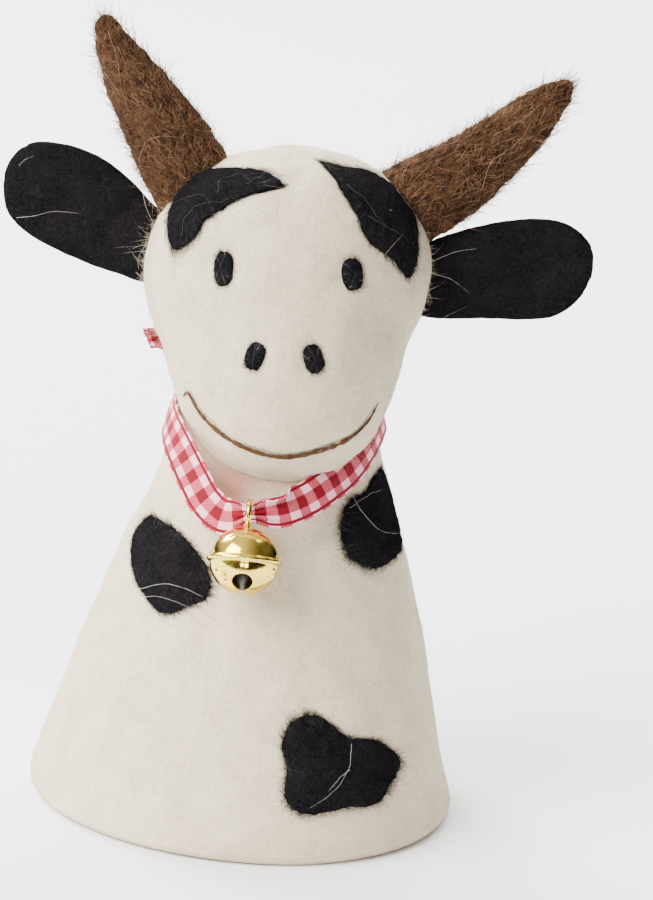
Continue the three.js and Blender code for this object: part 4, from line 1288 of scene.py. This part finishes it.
# %% [markdown]
# ## Fuzz on horns and ears
# The horns' wool is coarser, with fibres that follow the horn and stand off at its tip. The ears' felt is
# dense, so only a fine fringe shows, mostly along the cut edge.

# %% Horn and ear fuzz
HORN_FROM, EAR_FROM = 106.0, 22.5  # where horns and ears stand out of the head, up and to the side
TIP_HAIRS = 220
HORN_SHADES = [("dark", 0.0, 0.26, 0.055, BROWN), ("rust", 0.26, 0.76, 0.058, RUST_FIBRE),
               ("tan", 0.76, 1.0, 0.038, TAN_FIBRE)]  # the share of fibres from and to, and their radius


def over_head(middles):
    """1 on the part of a horn that stands out of the head."""
    return middles[:, 2] > HORN_FROM


def beside_head(middles):
    """1 on an ear outside the head."""
    return np.abs(middles[:, 0]) > EAR_FROM


def horn_fibres(name, rows, seed, count=5000):
    """Fibres that lie mostly along the horn and curl a little, in three shades of wool, and thinner ones
    that stand off its tip."""
    rng = np.random.default_rng(seed)
    line = smooth_line(np.array(rows)[:, :3], np.linspace(0, 1, 60))
    place, outward = scatter(*MESHES[name + "_wool"], count, rng, over_head)
    near = np.linalg.norm(place[:, None] - line[None], axis=-1).argmin(1)
    along = unit(np.gradient(line, axis=0))[near]
    lie = rng.uniform(0.70, 1.0, count)[:, None]
    along = along * lie * rng.choice([1, 1, 1, -1], (count, 1))
    start = unit(outward * (1 - lie) + along + 0.30 * rng.normal(size=(count, 3)))
    length = (1.3 + 3.0 * rng.random(count) ** 2)[:, None, None]
    s = np.linspace(0, 1, 4)[None, :, None]
    curved = s * start[:, None] + 0.36 * s**2 * rng.normal(size=(count, 1, 3))
    lines = place[:, None] - 0.08 * outward[:, None] + length * curved
    tip_way, wild, size = unit(line[-1] - line[-6]), rng.normal(size=(TIP_HAIRS, 3)), (TIP_HAIRS, 1)
    root = line[-1] - tip_way * rng.uniform(0.0, 5.0, size) + 0.9 * unit(wild) * rng.uniform(0.4, 1.0, size)
    start = unit(tip_way + 0.5 * wild)[:, None] * rng.uniform(0.8, 2.8, (TIP_HAIRS, 1, 1))
    tip_lines = root[:, None] + s * start + s**2 * 0.5 * rng.normal(size=(TIP_HAIRS, 1, 3))
    lines = np.concatenate([lines, tip_lines])
    shade, thin = rng.random(len(lines)), np.where(np.arange(len(lines)) < count, 1.0, 0.5)
    for label, low, high, radius, finish in HORN_SHADES:
        some = (shade >= low) & (shade < high)
        fuzz(f"fuzz_{name}_{label}", lines[some], radius * thin[some], finish, rng)


for seed, (name, rows) in enumerate(HORNS.items(), 110):
    horn_fibres(name, rows, seed)
    short_fuzz("fuzz_halo_" + name, name + "_wool", 1500, RUST_FIBRE, seed + 5, over_head, longest=1.5,
               radius=0.020, lie=(0.0, 0.6), curl=0.6)

for seed, name in enumerate(EARS, 120):
    short_fuzz("fuzz_" + name, name + "_felt", 2400, BLACK, seed, beside_head, longest=1.1, radius=0.026)

# %% [markdown]
# ## Fibres over the patches' edges
# At a patch's rim black fibres run out over the cream wool, and cream ones run in over the black. Each
# line is laid out in the patch's own terms: a turn round the outline, and a share of the way out to it.
# The same place function as the patch's then drops it onto the cone or the head.

# %% Patch edges
def rim_fibres(place_of, middle, outline, seed, count, inward=False, spread=(0.03, 0.24), lift=(0.1, 0.7),
               steps=3):
    """Lines that start near the rim and run outward or inward along the surface, rising a little. Most
    are short, and each goes sideways along the rim by a random amount of its own."""
    rng, size = np.random.default_rng(seed), (count, 1)
    s = np.linspace(0, 1, steps)[None]
    turn = rng.random(size) + rng.normal(scale=0.016, size=size) * s
    turn = turn + rng.normal(scale=0.010, size=size) * s**2
    reach = spread[0] + (spread[1] - spread[0]) * rng.random(size) ** 1.7
    start = rng.uniform(0.94, 1.01, size) + (0.06 if inward else 0.0)
    share = start + (-1 if inward else 1) * reach * s
    rim = smooth_line(np.array(outline, float), turn % 1.0, closed=True)
    place = np.array(middle, float) + (rim - middle) * share[..., None]
    over = (0.75 if inward else 0.0) * (1 - (1 - s) ** 2)  # inward fibres climb onto the patch
    height = rng.uniform(*lift, size) * (0.5 + 0.8 * s - 0.3 * s**2) + over
    return place_of(place[..., 0], place[..., 1], height), rng


for seed, (name, spot) in zip(EDGE_SEEDS, PATCHES.items()):
    lines, rng = rim_fibres(*spot, seed, count=1400)
    fuzz("edge_" + name, lines, 0.028, BLACK, rng)
    lines, rng = rim_fibres(*spot, seed + 50, count=60, inward=True, spread=(0.04, 0.40), steps=5)
    fuzz("edge_pale_" + name, lines, 0.012, GREY_FIBRE, rng)
    lines, rng = rim_fibres(*spot, seed + 80, count=26, spread=(0.25, 0.9), lift=(0.3, 1.2), steps=6)
    lines = lines[[clear_of_bell(line).all() for line in lines]]
    fuzz("hairs_" + name, lines, 0.022, BLACK, rng, thinnest=0.7)

for seed, (name, spot) in enumerate(FACE_SPOTS.items(), 300):
    lines, rng = rim_fibres(*spot, seed, count=260, spread=(0.05, 0.42), lift=(0.05, 0.3))
    fuzz("edge_" + name, lines, 0.020, BLACK, rng)
    lines, rng = rim_fibres(*spot, seed + 20, count=12, inward=True, spread=(0.5, 1.6), lift=(0.1, 0.3),
                            steps=6)
    fuzz("edge_pale_" + name, lines, 0.017, GREY_FIBRE, rng)

# %% [markdown]
# ## Single stray fibres
# A few long fibres are easy to see in the photograph: over the patches and the left brow, on the left
# ear, at both ear roots and across the horns. Each is a short table of places on its piece.

# %% Stray fibres
def stray(where, rows, lift, count=14):
    """A smooth line through a table of places, laid over its piece at a height."""
    places = smooth_line(np.array(rows, float), np.linspace(0, 1, count))
    return where(places[:, 0], places[:, 1], np.full(count, lift))


def on_horn(name):
    """A place on a horn's front, from a share along it and a share across it between -1 and 1."""
    rows = np.array(HORNS[name])

    def place(share, across, lift):
        tangents = unit(np.gradient(smooth_line(rows[:, :3], np.linspace(0, 1, 200)), axis=0))
        sideways = unit(np.cross([0, 1, 0], tangents[(share * 199).astype(int)]))
        half = read_even(rows[:, 3], share)
        front = -HORN_FLATNESS * half * np.sqrt(1 - across**2) - lift
        beside = sideways * (across * half)[:, None]
        return smooth_line(rows[:, :3], share) + beside + [0, 1, 0] * front[:, None]
    return place


STRAYS = {
    "pale": (0.030, PALE_FIBRE, [
        (on_cone, [(33, 20.6), (32, 16.9), (27, 13.0), (19, 10.3)], 1.25),
        (on_cone, [(32, 16.4), (29, 15.2), (25, 13.0)], 1.3),
        (on_cone, [(-47, 41.8), (-36, 44.1), (-26, 44.1), (-19, 43.4)], 1.2),
        (on_cone, [(-46, 40.5), (-36, 41.9), (-22, 41.4)], 1.25),
        (on_cone, [(43, 60.6), (50, 57.0), (59, 54.0), (79, 51.8)], 1.25),
        (on_cone, [(41, 58.6), (48, 59.6), (58, 60.2), (70, 60.0)], 1.3),
        (ON_EARS["ear_left"], [(-46.9, 100.3), (-44.0, 100.9), (-40.5, 102.1), (-35.3, 102.2)], -1.75),
        (ON_EARS["ear_left"], [(-25.5, 108.0), (-24.6, 104.7), (-22.9, 101.5), (-22.6, 100.5)], -2.2),
        (ON_EARS["ear_left"], [(-22.6, 100.2), (-24.4, 97.6), (-25.2, 95.4), (-24.9, 93.6)], -2.3),
        (ON_EARS["ear_left"], [(-25.4, 93.3), (-24.4, 92.4), (-25.2, 91.6), (-24.0, 91.0)], -2.2),
        (ON_EARS["ear_left"], [(-47.0, 109.6), (-46.0, 110.8), (-44.4, 111.6)], -1.7),
        (ON_EARS["ear_right"], [(24.6, 101.6), (25.4, 98.0), (25.2, 95.0), (26.0, 92.4)], -2.2),
        (ON_EARS["ear_right"], [(25.6, 97.4), (29.0, 96.6), (32.6, 94.2)], -1.9),
        (ON_EARS["ear_right"], [(25.4, 99.6), (29.4, 101.6), (33.0, 102.4)], -1.9),
    ]),
    "grey": (0.018, GREY_FIBRE, [
        (on_head, [(-38, 70.0), (-31, 72.5), (-24, 71.5), (-21, 68.6), (-27, 66.8)], 1.25),
        (on_head, [(-33, 66.4), (-26, 69.4), (-18, 70.2), (-12, 68.0)], 1.3),
        (on_head, [(-46, 64.0), (-40, 68.0), (-34, 68.6), (-30, 66.0), (-36, 64.2)], 1.2),
        (on_head, [(-62, 34), (-68, 41), (-62, 49), (-52, 54), (-44, 60)], 1.2),
        (on_head, [(-84, 40), (-76, 47), (-66, 51), (-57, 50)], 1.2),
        (on_head, [(-60, 55), (-67, 60), (-60, 66), (-47, 66)], 1.2),
        (on_head, [(50, 66), (56, 58), (58, 49), (66, 41)], 1.2),
        (on_head, [(52, 52), (60, 46), (70, 38), (76, 33)], 1.2),
    ]),
    "dark": (0.028, BLACK, [
        (on_head, [(-19, 70.5), (-15, 74.0), (-17, 78.0)], 1.3),
        (on_cone, [(-16, 44.6), (-12, 45.6), (-7, 45.0)], 0.6),
        (on_cone, [(36, 53.0), (33, 52.0), (30, 52.6)], 0.6),
    ]),
    "tan": (0.055, TAN_FIBRE, [
        (on_horn("horn_left"), [(0.30, -0.9), (0.36, -0.45), (0.35, 0.0), (0.30, 0.45)], 0.35),
        (on_horn("horn_left"), [(0.90, 0.1), (0.78, 0.05), (0.66, -0.25), (0.58, -0.45), (0.48, -0.5)], 0.35),
        (on_horn("horn_left"), [(0.72, -0.85), (0.62, -0.6), (0.58, -0.45)], 0.35),
        (on_horn("horn_left"), [(0.80, 0.3), (0.70, 0.2), (0.62, -0.1)], 0.35),
        (on_horn("horn_right"), [(0.45, 0.5), (0.55, 0.1), (0.66, 0.2), (0.78, -0.1)], 0.35),
        (on_horn("horn_right"), [(0.60, -0.5), (0.72, -0.35), (0.86, -0.3)], 0.35),
        (on_horn("horn_right"), [(0.35, -0.6), (0.42, -0.1), (0.40, 0.4)], 0.35),
    ]),
}
stray_rng = np.random.default_rng(400)
for label, (radius, finish, strays) in STRAYS.items():
    fuzz("stray_" + label, np.stack([stray(*row) for row in strays]), radius, finish, stray_rng, thinnest=1)

# %% [markdown]
# ## Floor and light
# The photograph has a white ground with a faint shadow to the lower right. A pale floor takes that
# shadow. One wide soft lamp stands to the upper left in front, and the pale surroundings fill in, with a
# darker band near the horizon that gives the brass something to mirror.

# %% Floor
def floor_finish():
    """Nearly white, with a very slow change of tone."""
    made, tree, skin = new_material("pale floor", Roughness=0.9, Specular_IOR_Level=0.1)
    tone = ramp(noise(add(tree, "TexCoord").outputs["Object"], 3.0, 2.0), 0.3, 0.7)
    link_or_set(skin["Base Color"], mix(tone, (0.93, 0.93, 0.93, 1), (0.95, 0.95, 0.95, 1)))
    return made


SIDE, FRONT, BACK = 2.5, -0.22, 5.0
floor_mesh = bpy.data.meshes.new("floor")
corners = [(-SIDE, FRONT, 0), (SIDE, FRONT, 0), (SIDE, BACK, 0), (-SIDE, BACK, 0)]
floor_mesh.from_pydata(corners, [], [range(4)])
floor_mesh.materials.append(floor_finish())
floor = bpy.data.objects.new("floor", floor_mesh)
bpy.context.scene.collection.objects.link(floor)


# %% Light
LAMPS = [  # name, place, size, power, and the point that it looks at
    ("key", (-0.89, -0.63, 0.88), 1.0, 66.0, (0, 0, 0.07)),
    ("window", (-0.70, 0.75, 0.90), 0.6, 34.0, (0, 0, 0.07)),
    ("ground", (0.35, 1.30, 1.30), 1.6, 66.0, (0.25, 1.0, 0)),
    ("catch_left", (-0.10, -0.90, 0.085), 0.10, 0.8, (0, 0, 0.07)),
    ("catch_right", (0.12, -0.90, 0.075), 0.14, 1.2, (0, 0, 0.07)),
]
for name, at, size, power, aim in LAMPS:
    light = bpy.data.lights.new(name, "AREA")
    light.size, light.energy = size, power
    away = unit(np.array(at) - aim)
    side = unit(np.cross(UP, away))
    stood(name, light, (side, np.cross(away, side), away), at)
print(len(LAMPS), "lamps")


def surroundings():
    """White room: bright above and darker on the right, with a dark band at the horizon. Both are read
    from the direction's own parts."""
    world = bpy.data.worlds.new("studio")
    bpy.context.scene.world = world
    world.use_nodes = True
    tree = world.node_tree
    across, _, upward = then("SeparateXYZ", {0: add(tree, "TexCoord").outputs["Generated"]}).outputs
    steps = then("ValToRGB", {0: plus(times(upward, 0.5), 0.5)})
    shades = [(0.0, 0.20), (0.30, 0.14), (0.45, 0.06), (0.56, 0.06), (0.62, 0.30), (0.72, 0.95), (1.0, 1.0)]
    ramp_points = steps.color_ramp.elements
    ramp_points[0].position, ramp_points[1].position = shades[0][0], shades[-1][0]
    for position, shade in shades[1:-1]:
        ramp_points.new(position)
    for point, (position, shade) in zip(ramp_points, shades):
        point.position, point.color = position, (shade, shade, shade, 1)
    background = tree.nodes["Background"].inputs
    link_or_set(background["Color"], steps.outputs[0])
    link_or_set(background["Strength"], times(ramp(across, -0.3, 0.7, 1.0, 0.14), 1.3))


surroundings()

# %% [markdown]
# ## The end
# The view layer is brought up to date.

# %% Finish
bpy.context.view_layer.update()
